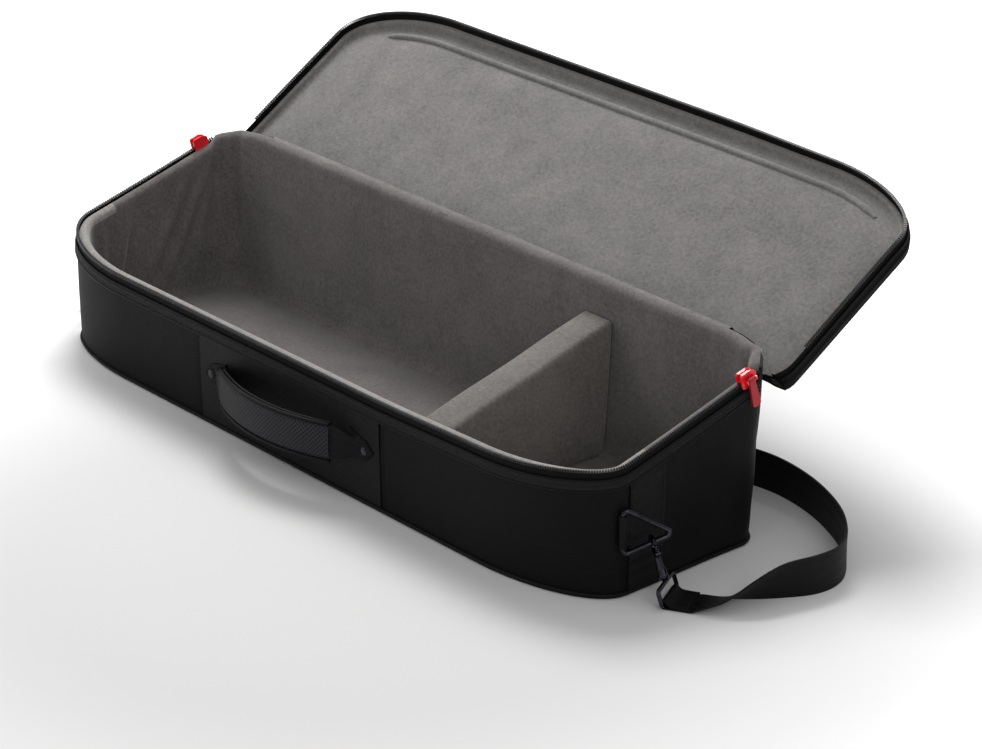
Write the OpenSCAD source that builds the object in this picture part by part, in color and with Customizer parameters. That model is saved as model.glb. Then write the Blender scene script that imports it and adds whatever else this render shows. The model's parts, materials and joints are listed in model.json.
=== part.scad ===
// Long padded case for a row of effects pedals: black fabric shell, grey plush lining,
// a base that rises towards the back, a shallow lid that zips round three sides,
// a sewn handle on the front and a shoulder strap clipped to a ring on each end.
// Millimetres. X runs along the case, the front (handle) faces -Y, Z is up, and the
// origin is the centre of the bottom. The lid is drawn open, as it rests.

/* [Body] */
// Length of the case
case_length = 840; // [760:5:1000]
// Depth of the case, front to back
case_depth = 250; // [235:5:300]
// Height of the front wall up to the zip
front_height = 115; // [105:1:140]
// Height of the rear wall up to the fold
rear_height = 187; // [165:1:210]
// Reach of each front corner's curve along X
front_corner_x = 140; // [90:5:180]
// Reach of each front corner's curve along Y
front_corner_y = 60; // [50:1:70]
// Reach of each rear corner's curve along X
rear_corner_x = 70; // [50:1:100]
// Reach of each rear corner's curve along Y
rear_corner_y = 40; // [35:1:50]

/* [Walls] */
// Thickness of the outer fabric
skin = 2; // [1.6:0.1:3]
// Thickness of the reinforced bottom fabric
bottom_skin = 3; // [2:0.1:5]
// Thickness of the stiff board in the floor
floor_board_thick = 3; // [2:0.1:5]
// Thickness of the foam in the floor
floor_foam = 8; // [4:0.5:12]
// Thickness of the foam in the walls
wall_foam = 10; // [6:0.5:14]
// Thickness of the plush lining
plush = 1.5; // [1:0.1:2.5]
// Height of the lid above the zip
lid_height = 26; // [24:0.5:36]
// Thickness of the foam in the lid
lid_foam = 6; // [4:0.5:8]
// Thickness of the foam in the lid's rim
lid_rim_foam = 4; // [2:0.5:6]
// Width of the padded roll along the lid's free edge
lid_roll_width = 9; // [6:0.5:12]

/* [Zip] */
// Width of one row of zip teeth, across the wall
chain_width = 3; // [2.4:0.1:4]
// Height of one row of zip teeth
chain_height = 2.6; // [2:0.1:3.2]
// Thickness of the zip tape
tape_thick = 1; // [0.8:0.1:1.4]
// Height of the zip tape that shows on the base
base_tape_height = 7; // [6:0.5:10]
// Height of the zip tape that shows on the lid
lid_tape_height = 6; // [5:0.5:9]
// Gap between the two rows of teeth at the zip's middle, where the slider's post runs
chain_gap = 3; // [2.6:0.1:4]
// Length of a zip slider
slider_length = 18; // [14:1:24]
// Height of a zip slider across both rows
slider_height = 15; // [14:0.5:17]
// Thickness of a slider's plates
slider_plate = 1.8; // [1.4:0.1:2.4]
// Length of a zip pull
pull_length = 28; // [20:1:40]
// Width of a zip pull at its flared end
pull_width = 10; // [8:0.5:14]

/* [Divider] */
// Thickness of the padded divider
divider_thick = 40; // [20:1:60]
// Place of the divider's left face along X
divider_place = 163; // [60:1:190]
// How far the divider's top lies below the zip
divider_drop = 28; // [15:1:45]

/* [Handle] */
// Length of the handle between its sewn ends
handle_span = 220; // [200:5:240]
// How far the handle bows out of the front
handle_bow = 32; // [28:1:40]
// Height of the handle strap
handle_height = 36; // [28:1:42]
// Thickness of the handle strap
handle_thick = 6; // [4:0.5:8]
// Height of the handle's middle above the floor
handle_level = 58; // [50:1:62]
// Length of the padded grip
grip_length = 170; // [150:5:180]
// Width of the reinforced panel behind the handle
panel_width = 286; // [276:2:320]

/* [Carrying hardware] */
// Width of the shoulder strap
strap_width = 38; // [30:1:44]
// Thickness of the shoulder strap
strap_thick = 1.8; // [1.4:0.1:2.2]
// Width of the webbing sewn down each end of the case
end_strip_width = 42; // [30:1:48]
// Radius of the wire of the rings
ring_wire = 2.4; // [2:0.1:2.8]
// Length of the ring's straight leg
ring_leg = 46; // [42:1:52]
// Reach of the ring's apex from its leg
ring_reach = 48; // [44:1:54]
// Height of the middle of the ring's leg above the floor
ring_level = 68; // [62:1:74]
// How far the right ring has swung out of the end face, in degrees
right_ring_swing = 26; // [22:1:34]
// How far the left ring has swung out of the end face, in degrees
left_ring_swing = 40; // [24:1:44]
// Direction in which the strap leaves the right hook, in degrees out of X
right_strap_heading = 30; // [20:1:45]
// Direction in which the strap leaves the left hook, in degrees out of X
left_strap_heading = 70; // [60:1:80]
// How far the snap hooks lean towards the strap, in degrees
hook_lean = 18; // [14:1:22]
// Radius of a snap hook's loop, to the middle of its wire
hook_loop = 9.2; // [8.8:0.1:10]
// Radius of a snap hook's wire
hook_wire = 2.1; // [1.8:0.1:2.3]
// Length of the strap adjuster
adjuster_length = 24; // [20:1:30]

/* [Lid position] */
// Angle between the closed lid and the open lid, in degrees
open_angle = 163.3; // [120:0.1:165]

/* [Hidden] */
$fn = 40;
far = 2000;                                  // reach of the cutting blocks
corner_steps = 14;                           // straight pieces in each corner's curve
rim_angle = atan((rear_height - front_height) / case_depth);
rim_depth = case_depth / cos(rim_angle);     // depth of the case along the sloping zip line
half_length = case_length / 2;
half_depth = case_depth / 2;
touch = 0.4;                                 // air between pieces that move past each other
shaft_clear = 0.06;                          // air round a pin in its bore
hang_gap = 0.9;                              // air where a snap hook hangs on its ring
bead = 3;                                    // size of the piping along seams

// Levels above the floor
board_top = bottom_skin + floor_board_thick;
floor_top = board_top + floor_foam;
inside_floor = floor_top + plush;

// Levels square to the zip line; the base's are negative and the lid's positive
base_chain_top = -chain_gap / 2;
base_tape_top = base_chain_top - chain_height;
base_wall_top = base_tape_top - base_tape_height;
base_foam_top = base_wall_top + 1;
base_plush_top = base_foam_top + plush;
rear_top = base_chain_top;                   // the rear wall stands up to the fold
rear_foam_top = rear_top - plush;
lid_chain_low = chain_gap / 2;
lid_tape_low = lid_chain_low + chain_height;
lid_wall_low = lid_tape_low + lid_tape_height;
lid_skin_low = lid_height - skin;
lid_foam_low = lid_skin_low - lid_foam;
lid_plush_low = lid_foam_low - plush;
band_height = 9;                             // ribbed band below the tape
band_proud = 1;
band_low = base_wall_top - band_height;
seam_gap = 0.5;                              // space left for a line of stitches

// Insets from the outline
foam_inset = skin;
plush_inset = skin + wall_foam;
inside_inset = plush_inset + plush;
chain_middle = chain_width / 2;
tape_inset = chain_middle - tape_thick / 2;
lid_plush_inset = skin + lid_rim_foam;
lid_inside_inset = lid_plush_inset + plush;

// The fold: the line that the lid turns about, in front of and below the rear edge
fold_along = rim_depth - 19;
fold_drop = 10;
lid_cut_along = fold_along - 3;              // the lid stops just in front of the fold
fold_y = -half_depth + fold_along * cos(rim_angle) + fold_drop * sin(rim_angle);
fold_z = front_height + fold_along * sin(rim_angle) - fold_drop * cos(rim_angle);

// Where the zip stops at the rear corners, measured up the slope
straight_along = (case_depth - rear_corner_y) / cos(rim_angle);
zip_end_along = straight_along + 8;
lid_tape_end_along = lid_cut_along - 6;
slider_along = straight_along - slider_length / 2;
lid_chain_end_along = slider_along - slider_length / 2 - 1;

// Zip slider, measured from the middle of the chain: X outwards, Y up the slope, Z square to it
slider_clear = 0.5;
plate_near = chain_width / 2 + slider_clear;
plate_far = plate_near + slider_plate;
slot_half = tape_thick / 2 + touch;
flange_low = chain_gap / 2 + chain_height + slider_clear;
bail_radius = 1.2;
bail_span = 9;
bail_ear = 1.8;
pull_bore = bail_radius + shaft_clear;
pull_eye = pull_bore + 1.5;
pull_thick = 2.4;
bail_offset = plate_far + pull_eye + touch;

// Divider
divider_length = case_depth - 2 * inside_inset - 2 * touch;
divider_plush = 2;
grip_strip_thick = 1.2;
grip_strip_width = 25;
grip_strip_low = inside_floor + 8;
grip_strip_drop = 14;                        // how far each strip stops below the divider's top

// Handle
handle_radius = (pow(handle_span / 2, 2) + pow(handle_bow, 2)) / (2 * handle_bow);
panel_thick = 1;
panel_face = half_depth + panel_thick;
handle_centre_y = handle_radius - panel_face - handle_bow;
handle_end_angle = asin(handle_span / 2 / handle_radius);
grip_angle = asin(grip_length / 2 / handle_radius);
anchor_thick = 1.6;
anchor_length = 36;
anchor_start = handle_span / 2 - 13;
anchor_half = handle_height / 2 - 1;
anchor_narrows = 0.7 * anchor_length;        // from here the anchor tapers to its tip
rivet_place = anchor_start + 0.68 * anchor_length;
rivet_radius = 4;
rivet_rim = 0.8;
rivet_dome = 1.6;

// Rings
strip_thick = 1.5;
strip_front = -half_depth + front_corner_y + 1;
tab_wall = 1.3;
tab_radius = ring_wire + shaft_clear + tab_wall;
tab_height = ring_leg - 14;
leg_x = half_length + tab_radius + 0.2;
leg_y = strip_front - 11;
ring_bend = 4;
ring_apex_drop = 6;                          // the apex hangs below the middle of the leg
bar_slope = atan((ring_leg / 2 - ring_apex_drop) / ring_reach);

// Snap hooks: the ring's lower bar runs through the hook's loop
bar_along = 28;
bar_level = ring_level - ring_leg / 2 + bar_along * tan(bar_slope);
bar_lift = hook_loop - hook_wire - ring_wire - hang_gap;
nose_angle = 35;
gate_angle = -36;
gate_wire = 1.6;
gate_knuckle = 2.1;
shank_top = -hook_loop - 0.3;
shank_low = -32.5;
neck_length = 12;
barrel_top = shank_top - neck_length;
ball_level = -29;
ball_radius = 5;
pin_radius = 2;
pin_head = 2.9;
pin_top = -22;
head_top = -25;
head_low = -27;
eye_wire = 2.1;
eye_top = shank_low - touch - eye_wire;
eye_half = strap_width / 2 + 1 + eye_wire;
eye_bend = 3.5;
sewn_radius = eye_wire + shaft_clear + strap_thick;
sewn_length = 24;
floor_clear = 0.3;
eye_level = floor_clear + sewn_radius;       // height of the eye's lower bar

function swing(side) = side > 0 ? right_ring_swing : left_ring_swing;
function heading(side) = side > 0 ? right_strap_heading : left_strap_heading;
function along_strap(side) = [cos(heading(side)), sin(heading(side)), 0];
function across_strap(side) = [-sin(heading(side)), cos(heading(side)), 0];
function shank_up(side) = [0, 0, cos(hook_lean)] - sin(hook_lean) * along_strap(side);
function lean_out(side) = [0, 0, sin(hook_lean)] + cos(hook_lean) * along_strap(side);
function bar_way(side) = [sin(swing(side)) * cos(bar_slope), cos(swing(side)) * cos(bar_slope), sin(bar_slope)];
function bar_spot(side) = [leg_x + bar_along * sin(swing(side)), leg_y + bar_along * cos(swing(side)), bar_level];
function hook_turn(side) = atan2(bar_way(side) * across_strap(side), bar_way(side) * lean_out(side)) - 90;
function gate_side(side) = cos(hook_turn(side)) * lean_out(side) + sin(hook_turn(side)) * across_strap(side);
function loop_spot(side) = bar_spot(side) - bar_lift * shank_up(side);
function eye_low(side) = (eye_level - loop_spot(side)[2]) / cos(hook_lean);
function eye_spot(side) = loop_spot(side) + eye_low(side) * shank_up(side);
function sewn_spot(side) = eye_spot(side) + sewn_length * along_strap(side);

// Shoulder strap: x, y, roll (0 stands on edge, 90 lies flat) and lift off the floor.
// It runs from the right hook round the back of the case to the left hook.
strap_run_y = 158;
adjuster_wall = 3.5;
strap_way = concat([[sewn_spot(1)[0], sewn_spot(1)[1], 90, 0]], [
    [489, -16, 72, 0], [503, 8, 40, 0], [514, 38, 12, 0], [524, 68, 0, 0],
    [523, 96, 0, 0], [507, 122, 0, 0], [474, 150, 0, 0], [436, 170, 0, 0],
    [394, 184, 0, 0], [348, 190, 0, 0], [304, 184, 0, 0], [262, 171, 0, 1],
    [226, 161, 0, 3], [194, strap_run_y, 0, adjuster_wall],
    [160, strap_run_y, 0, adjuster_wall], [-180, strap_run_y, 0, adjuster_wall],
    [-214, strap_run_y, 0, adjuster_wall], [-262, strap_run_y, 0, 2], [-330, 158, 0, 0],
    [-388, 152, 0, 0], [-430, 138, 0, 0], [-458, 112, 0, 0], [-468, 80, 12, 0],
    [-468, 48, 40, 0], [-464, 18, 72, 0]],
    [[-sewn_spot(-1)[0], sewn_spot(-1)[1], 90, 0]]);
strap_steps = 3;
adjuster_x = -10;
adjuster_half = 3.2;

// ---- Outlines ----

function curve(cx, cy, rx, ry, start) =
    [for (i = [0:corner_steps]) let (a = start + 90 * i / corner_steps)
        [cx + rx * cos(a), cy + ry * sin(a)]];

// Plan of the case, drawn in from its outside by inset
function plan(inset) =
    let (hx = half_length - inset, hy = half_depth - inset,
         fx = front_corner_x - inset, fy = front_corner_y - inset,
         rx = rear_corner_x - inset, ry = rear_corner_y - inset)
    concat(curve(hx - rx, hy - ry, rx, ry, 0), curve(rx - hx, hy - ry, rx, ry, 90),
           curve(fx - hx, fy - hy, fx, fy, 180), curve(hx - fx, fy - hy, fx, fy, 270));

function unit(v) = v / norm(v);

// A convex outline, listed anticlockwise, with each corner rounded to its radius
function rounded(points, radii, steps = 5) =
    [for (i = [0:len(points) - 1])
        let (n = len(points), p = points[i],
             u = unit(points[(i + n - 1) % n] - p), w = unit(points[(i + 1) % n] - p),
             half = acos(u * w) / 2, r = radii[i],
             c = p + unit(u + w) * r / sin(half),
             first = p + u * r / tan(half) - c,
             a = atan2(first[1], first[0]))
        for (k = [0:steps]) c + r * [cos(a + (180 - 2 * half) * k / steps),
                                     sin(a + (180 - 2 * half) * k / steps)]];

module block(inset) { linear_extrude(height = far) polygon(plan(inset)); }

module wall(outer, inner) {
    linear_extrude(height = far) difference() {
        polygon(plan(outer));
        polygon(plan(inner));
    }
}

// ---- Cuts along the sloping zip line ----

// A frame on the zip line: its Y runs up the slope and its Z stands square to it
module on_rim() { translate([0, -half_depth, front_height]) rotate([rim_angle, 0, 0]) children(); }

module slab(low, high) { on_rim() translate([-far, -far, low]) cube([2 * far, 2 * far, high - low]); }

module between(low, high) {
    intersection() {
        children();
        slab(low, high);
    }
}

// Stands on a level above the floor and stops at a level square to the zip line
module standing(low, high) {
    intersection() {
        translate([0, 0, low]) children();
        slab(-far, high);
    }
}

module ahead_of(along) {
    difference() {
        children();
        on_rim() translate([-far, along, -far]) cube(2 * far);
    }
}

module behind(along) {
    intersection() {
        children();
        on_rim() translate([-far, along, -far]) cube(2 * far);
    }
}

module lid_place() {
    translate([0, fold_y, fold_z]) rotate([-open_angle, 0, 0]) translate([0, -fold_y, -fold_z]) children();
}

module on_side(side) { mirror([side < 0 ? 1 : 0, 0, 0]) children(); }

// ---- Base ----

module bottom_panel() {
    color("#17171a") linear_extrude(height = bottom_skin) polygon(plan(0));
}

module bottom_piping() {
    color("#0d0d0f") translate([0, 0, bottom_skin - bead / 2]) linear_extrude(height = bead)
        difference() {
            polygon(plan(-bead / 2));
            polygon(plan(0));
        }
}

module outer_wall() {
    color("#1b1b1e") union() {
        standing(bottom_skin, base_wall_top) wall(0, skin);
        behind(zip_end_along) between(base_wall_top - 1, rear_top) wall(0, skin);
    }
}

module front_panel() {
    color("#202023") intersection() {
        translate([-panel_width / 2, -panel_face, bottom_skin + bead / 2 + seam_gap])
            cube([panel_width, panel_thick, front_height]);
        slab(-far, band_low - seam_gap);
    }
}

module rim_band() {
    color("#26262a") ahead_of(zip_end_along) between(band_low, base_wall_top) wall(-band_proud, 0);
}

module floor_board() {
    color("#3a3a3c") translate([0, 0, bottom_skin]) linear_extrude(height = floor_board_thick)
        polygon(plan(foam_inset));
}

module floor_pad() {
    color("#5c5a58") translate([0, 0, board_top]) linear_extrude(height = floor_foam)
        polygon(plan(foam_inset));
}

module foam_wall() {
    standing(floor_top, base_foam_top) wall(foam_inset, plush_inset);
    behind(zip_end_along) between(base_foam_top - 1, rear_foam_top) wall(foam_inset, plush_inset);
}

module front_wall_pad() {
    color("#5c5a58") intersection() {
        foam_wall();
        translate([front_corner_x - half_length, -far, 0])
            cube([case_length - 2 * front_corner_x, far, far]);
    }
}

module rear_wall_pad() {
    color("#5c5a58") intersection() {
        foam_wall();
        translate([rear_corner_x - half_length, 0, 0])
            cube([case_length - 2 * rear_corner_x, far, far]);
    }
}

module end_pad(side) {
    color("#5c5a58") on_side(side) intersection() {
        foam_wall();
        union() {
            translate([half_length - front_corner_x, -far, 0]) cube([far, far, far]);
            translate([half_length - rear_corner_x, 0, 0]) cube([far, far, far]);
        }
    }
}

module base_lining() {
    lap = 0.5;
    color("#6f6c6a") union() {
        standing(floor_top, base_plush_top) wall(plush_inset, inside_inset);
        translate([0, 0, floor_top]) linear_extrude(height = plush) polygon(plan(inside_inset - lap));
        ahead_of(zip_end_along) between(base_foam_top, base_plush_top)
            wall(foam_inset + touch, plush_inset + lap);
        behind(zip_end_along) between(base_plush_top - 1, rear_top) wall(plush_inset, inside_inset);
        behind(zip_end_along) between(rear_foam_top, rear_top) wall(foam_inset, plush_inset + lap);
    }
}

module base_zip_tape() {
    color("#101012") ahead_of(zip_end_along) between(base_wall_top, base_tape_top)
        wall(tape_inset, tape_inset + tape_thick);
}

module base_zip_teeth() {
    color("#2c2c30") ahead_of(zip_end_along) between(base_tape_top, base_chain_top) wall(0, chain_width);
}

// Bound seam along the top of the rear wall, where the lid folds
module fold_piping() {
    color("#8b8785") behind(zip_end_along + 2) between(rear_top, rear_top + bead)
        wall(foam_inset + bead, foam_inset + 2 * bead);
}

// ---- Lid ----

// Fabric that joins the rear wall's top to the rear edge of the lid and folds between them
module hinge_fabric() {
    width = case_length - 2 * rear_corner_x;
    fabric = 0.8;
    gap = 0.3;
    reach = 0.77;                            // how much of the lid's edge the fabric covers
    fabric_top = rear_height + rear_top;
    fabric_low = fold_z - (lid_plush_low + fold_drop) * reach;
    color("#1b1b1e") translate([-width / 2, half_depth + gap, fabric_low])
        cube([width, fabric, fabric_top - fabric_low]);
}

module lid_cover() {
    color("#1b1b1e") lid_place() ahead_of(lid_cut_along) between(lid_skin_low, lid_height) block(0);
}

module lid_rim_wall() {
    color("#1b1b1e") lid_place() ahead_of(lid_cut_along) between(lid_wall_low, lid_skin_low) wall(0, skin);
}

module lid_pad() {
    color("#5c5a58") lid_place() ahead_of(lid_cut_along) between(lid_foam_low, lid_skin_low) block(skin);
}

module lid_rim_pad() {
    color("#5c5a58") lid_place() ahead_of(lid_cut_along) between(lid_wall_low + plush, lid_foam_low)
        wall(skin, lid_plush_inset);
}

module lid_lining() {
    color("#8b8785") lid_place() ahead_of(lid_cut_along) union() {
        between(lid_plush_low, lid_foam_low) block(lid_plush_inset);
        between(lid_wall_low, lid_foam_low) wall(lid_plush_inset, lid_inside_inset);
        between(lid_wall_low, lid_wall_low + plush) wall(skin, lid_plush_inset + 0.5);
    }
}

// Padded roll sewn along the free edge of the lid's lining
module lid_roll() {
    color("#9a9694") lid_place() intersection() {
        between(lid_plush_low - bead, lid_plush_low)
            wall(lid_inside_inset, lid_inside_inset + lid_roll_width);
        translate([front_corner_x / 2 - half_length, -far, 0])
            cube([case_length - front_corner_x, far, far]);
    }
}

module lid_zip_tape() {
    color("#101012") lid_place() ahead_of(lid_tape_end_along) between(lid_tape_low, lid_wall_low)
        wall(tape_inset, tape_inset + tape_thick);
}

module lid_zip_teeth() {
    color("#2c2c30") lid_place() ahead_of(lid_chain_end_along) between(lid_chain_low, lid_tape_low)
        wall(0, chain_width);
}

// ---- Divider ----

// Level of the divider's top at a place along Y
function divider_top(y) =
    front_height + (y + half_depth) * tan(rim_angle) - divider_drop / cos(rim_angle);

module divider_block(inset) {
    half = divider_length / 2 - grip_strip_thick - inset;
    low = inside_floor + touch + inset;
    translate([divider_place + inset, 0, 0]) rotate([90, 0, 90])
        linear_extrude(height = divider_thick - 2 * inset)
            polygon(rounded([[-half, low], [half, low], [half, divider_top(half) - inset],
                             [-half, divider_top(-half) - inset]], [2, 2, 8, 12]));
}

module divider_cover() {
    color("#7d7875") difference() {
        divider_block(0);
        divider_block(divider_plush);
    }
}

module divider_core() { color("#5c5a58") divider_block(divider_plush); }

// Strips that grip the lining at both ends of the divider
module divider_grip_strips() {
    color("#2c2b2b") for (end = [-1, 1])
        translate([divider_place + (divider_thick - grip_strip_width) / 2,
                   end > 0 ? divider_length / 2 - grip_strip_thick : -divider_length / 2,
                   grip_strip_low])
            cube([grip_strip_width, grip_strip_thick,
                  divider_top(end * divider_length / 2) - grip_strip_drop - grip_strip_low]);
}

// ---- Zip sliders and pulls ----

module slider_place(side) {
    on_side(side) on_rim() translate([half_length - chain_middle, slider_along, 0]) children();
}

module slider_face() {
    hl = slider_length / 2;
    hh = slider_height / 2;
    shoulder = hl * 0.4;                     // where the plate starts to narrow
    nose = hh * 0.6;
    rotate([90, 0, 90]) linear_extrude(height = slider_plate)
        polygon(rounded([[-hl, -hh], [shoulder, -hh], [hl, -nose], [hl, nose],
                         [shoulder, hh], [-hl, hh]], [2.4, 2.4, 2.4, 2.4, 2.4, 2.4]));
}

module zip_slider(side) {
    flange_length = slider_length * 0.6;
    flange_height = slider_height / 2 - flange_low;
    color("#d82834") slider_place(side) union() {
        translate([plate_near, 0, 0]) slider_face();
        translate([-plate_far, 0, 0]) slider_face();
        translate([-plate_near - 0.1, -slider_length / 2 + 1, -1.1])
            cube([2 * plate_near + 0.2, 5, 2.2]);
        for (v = [slot_half, -plate_near - 0.1], w = [flange_low, -flange_low - flange_height])
            translate([v, -slider_length / 2 + 2.4, w])
                cube([plate_near - slot_half + 0.1, flange_length - 2.4, flange_height]);
        for (u = [-bail_span / 2 - bail_ear, bail_span / 2])
            translate([plate_far - 0.1, u, -1.7]) cube([bail_offset + 1.7 - plate_far, bail_ear, 3.4]);
        translate([bail_offset, 0, 0]) rotate([90, 0, 0])
            cylinder(r = bail_radius, h = bail_span + bail_ear, center = true);
    }
}

module zip_pull(side) {
    top = -pull_bore - 0.7;
    neck = pull_width * 0.34;
    color("#8c1420") slider_place(side) translate([bail_offset, 0, 0]) difference() {
        union() {
            rotate([90, 0, 0]) cylinder(r = pull_eye, h = bail_span - 2 * touch, center = true);
            translate([-pull_thick / 2, 0, 0]) rotate([90, 0, 90]) linear_extrude(height = pull_thick)
                polygon(rounded([[-pull_width / 2, -pull_length], [pull_width / 2, -pull_length],
                                 [neck, top], [-neck, top]], [3, 3, 0.4, 0.4]));
        }
        rotate([90, 0, 0]) cylinder(r = pull_bore, h = bail_span, center = true);
    }
}

// ---- Handle ----

module handle_arc(first, last, near_r, far_r, low, high) {
    translate([0, handle_centre_y, handle_level]) rotate([0, 0, 270 + first])
        rotate_extrude(angle = last - first, $fn = 96)
            polygon(rounded([[near_r, low], [far_r, low], [far_r, high], [near_r, high]],
                            [0.8, 0.8, 0.8, 0.8], 3));
}

module carry_handle() {
    color("#1d1d20") handle_arc(-grip_angle, grip_angle, handle_radius - handle_thick / 2,
        handle_radius + handle_thick / 2, -handle_height / 2, handle_height / 2);
}

module handle_piping() {
    inner = handle_radius - handle_thick / 2 + 0.5;
    outer = handle_radius + handle_thick / 2 - 0.5;
    color("#0d0d0f") union() {
        handle_arc(-grip_angle, grip_angle, inner, outer, handle_height / 2, handle_height / 2 + 2.2);
        handle_arc(-grip_angle, grip_angle, inner, outer, -handle_height / 2 - 2.2, -handle_height / 2);
    }
}

// Each end of the handle narrows and is sewn to its anchor; it twists when the handle lifts
module handle_end(side) {
    root = grip_length / 2 - 1;
    tip = handle_span / 2;
    color("#1d1d20") on_side(side) intersection() {
        handle_arc(grip_angle, handle_end_angle + 2, handle_radius - handle_thick / 2,
            handle_radius + handle_thick / 2, -handle_height / 2, handle_height / 2);
        translate([0, 0, handle_level]) rotate([90, 0, 0]) linear_extrude(height = far)
            polygon([[root, -handle_height / 2], [tip, -handle_height / 4],
                     [tip, handle_height / 4], [root, handle_height / 2]]);
        translate([-far, -far - panel_face - anchor_thick, 0]) cube([2 * far, far, far]);
    }
}

module handle_anchors() {
    color("#222226") for (side = [-1, 1]) on_side(side)
        translate([0, -panel_face, handle_level]) rotate([90, 0, 0]) linear_extrude(height = anchor_thick)
            polygon(rounded([[anchor_start, -anchor_half],
                             [anchor_start + anchor_narrows, -anchor_half * 0.6],
                             [anchor_start + anchor_length, 0],
                             [anchor_start + anchor_narrows, anchor_half * 0.6],
                             [anchor_start, anchor_half]], [3, 3, 3, 3, 3]));
}

module handle_rivets() {
    color("#5a5a60") for (side = [-1, 1]) on_side(side)
        translate([rivet_place, -panel_face - anchor_thick, handle_level]) rotate([90, 0, 0]) union() {
            cylinder(r = rivet_radius, h = rivet_rim);
            cylinder(r1 = rivet_radius * 0.75, r2 = rivet_radius * 0.5, h = rivet_dome);
        }
}

// ---- Rings ----

// A closed loop of wire through the corners of a convex outline, listed anticlockwise
module wire_loop(points, bend, wire) {
    reach = 0.25;                            // each straight run ends this far inside its bends
    draw = 0.02;                             // and is drawn this much thinner
    n = len(points);
    for (i = [0:n - 1]) {
        p = points[i];
        q = points[(i + 1) % n];
        r = points[(i + 2) % n];
        u = unit(q - p);
        w = unit(r - q);
        before = unit(points[(i + n - 1) % n] - p);
        half = acos(-u * w) / 2;
        half_before = acos(before * u) / 2;
        start = p + u * bend / tan(half_before);
        run = norm(q - p) - bend / tan(half_before) - bend / tan(half);
        centre = q + unit(w - u) * bend / sin(half);
        translate([start[0], start[1], 0]) rotate([0, 0, atan2(u[1], u[0])]) rotate([0, 90, 0])
            translate([0, 0, -reach]) cylinder(r = wire - draw, h = run + 2 * reach);
        translate([centre[0], centre[1], 0]) rotate([0, 0, atan2(u[1], u[0]) - 90])
            rotate_extrude(angle = 180 - 2 * half) translate([bend, 0]) circle(r = wire);
    }
}

module end_strip(side) {
    color("#232327") on_side(side) intersection() {
        translate([half_length, strip_front, bottom_skin + bead / 2 + seam_gap])
            cube([strip_thick, end_strip_width, rear_height]);
        slab(-far, band_low - seam_gap);
    }
}

// Webbing folded round the ring's leg and sewn to the end strip
module ring_tab(side) {
    color("#1a1a1d") on_side(side) difference() {
        union() {
            translate([leg_x, leg_y, ring_level - tab_height / 2]) cylinder(r = tab_radius, h = tab_height);
            translate([half_length + 0.2, leg_y, ring_level - tab_height / 2])
                cube([strip_thick, strip_front - leg_y, tab_height]);
        }
        translate([leg_x, leg_y, 0]) cylinder(r = ring_wire + shaft_clear, h = rear_height);
    }
}

module triangle_ring(side) {
    color("#6e6e75") on_side(side) translate([leg_x, leg_y, ring_level])
        rotate([90, 0, 90 - swing(side)])
            wire_loop([[0, -ring_leg / 2], [ring_reach, -ring_apex_drop], [0, ring_leg / 2]],
                      ring_bend, ring_wire);
}

// ---- Snap hooks ----

// A frame in the hook's loop: Z runs up the shank and Y across the strap
module shank_place(side) {
    on_side(side) translate(loop_spot(side)) rotate([0, 0, heading(side)]) rotate([0, -hook_lean, 0])
        children();
}

// The same frame turned so that its Y follows the ring's bar and its X faces the gate
module hook_place(side) { shank_place(side) rotate([0, 0, hook_turn(side)]) children(); }

gate_spot = hook_loop * [cos(gate_angle), 0, sin(gate_angle)];
gate_length = hook_loop * sin(nose_angle) - gate_spot[2] - hook_wire - touch;

module snap_hook(side) {
    lap = 0.15;
    gap = gate_knuckle + touch;
    color("#8a8a92") hook_place(side) difference() {
        union() {
            rotate([90, 0, 0]) rotate([0, 0, nose_angle])
                rotate_extrude(angle = 360 + gate_angle - 8 - nose_angle)
                    translate([hook_loop, 0]) circle(r = hook_wire);
            translate(hook_loop * [cos(nose_angle), 0, sin(nose_angle)]) sphere(r = hook_wire);
            translate([0, 0, barrel_top]) cylinder(r1 = 4.2, r2 = 2.8, h = neck_length);
            translate(gate_spot) rotate([90, 0, 0]) translate([0, 0, lap])
                cylinder(r = gate_knuckle, h = hook_wire);
        }
        translate(gate_spot) rotate([90, 0, 0]) translate([0, 0, -hook_wire - 1])
            cylinder(r = gap, h = hook_wire + 1 + lap);
    }
}

// Foot of the snap hook, bored for the pin that it turns on
module hook_barrel(side) {
    color("#8a8a92") shank_place(side) difference() {
        union() {
            translate([0, 0, shank_low]) cylinder(r1 = 3.8, r2 = 4.2, h = barrel_top - shank_low);
            intersection() {
                translate([0, 0, ball_level]) sphere(r = ball_radius);
                translate([-far, -far, shank_low]) cube([2 * far, 2 * far, barrel_top - shank_low]);
            }
        }
        translate([0, 0, shank_low - 1])
            cylinder(r = pin_radius + shaft_clear, h = barrel_top - shank_low + 2);
        translate([0, 0, head_low - touch]) cylinder(r = pin_head + touch, h = head_top - head_low + 2 * touch);
    }
}

module hook_gate(side) {
    lap = 0.15;
    clear = gate_knuckle + touch;
    color("#b9b9c0") hook_place(side) translate(gate_spot) union() {
        rotate([90, 0, 0]) translate([0, 0, -hook_wire - lap]) cylinder(r = gate_knuckle, h = hook_wire);
        translate([-1.2, lap, 0]) cube([2.4, gate_wire - 0.2, clear + 1.6]);
        translate([0, 0, clear]) cylinder(r = gate_wire, h = gate_length - clear);
        translate([gate_wire, 0, gate_length * 0.62]) sphere(r = 1.7);
    }
}

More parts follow.
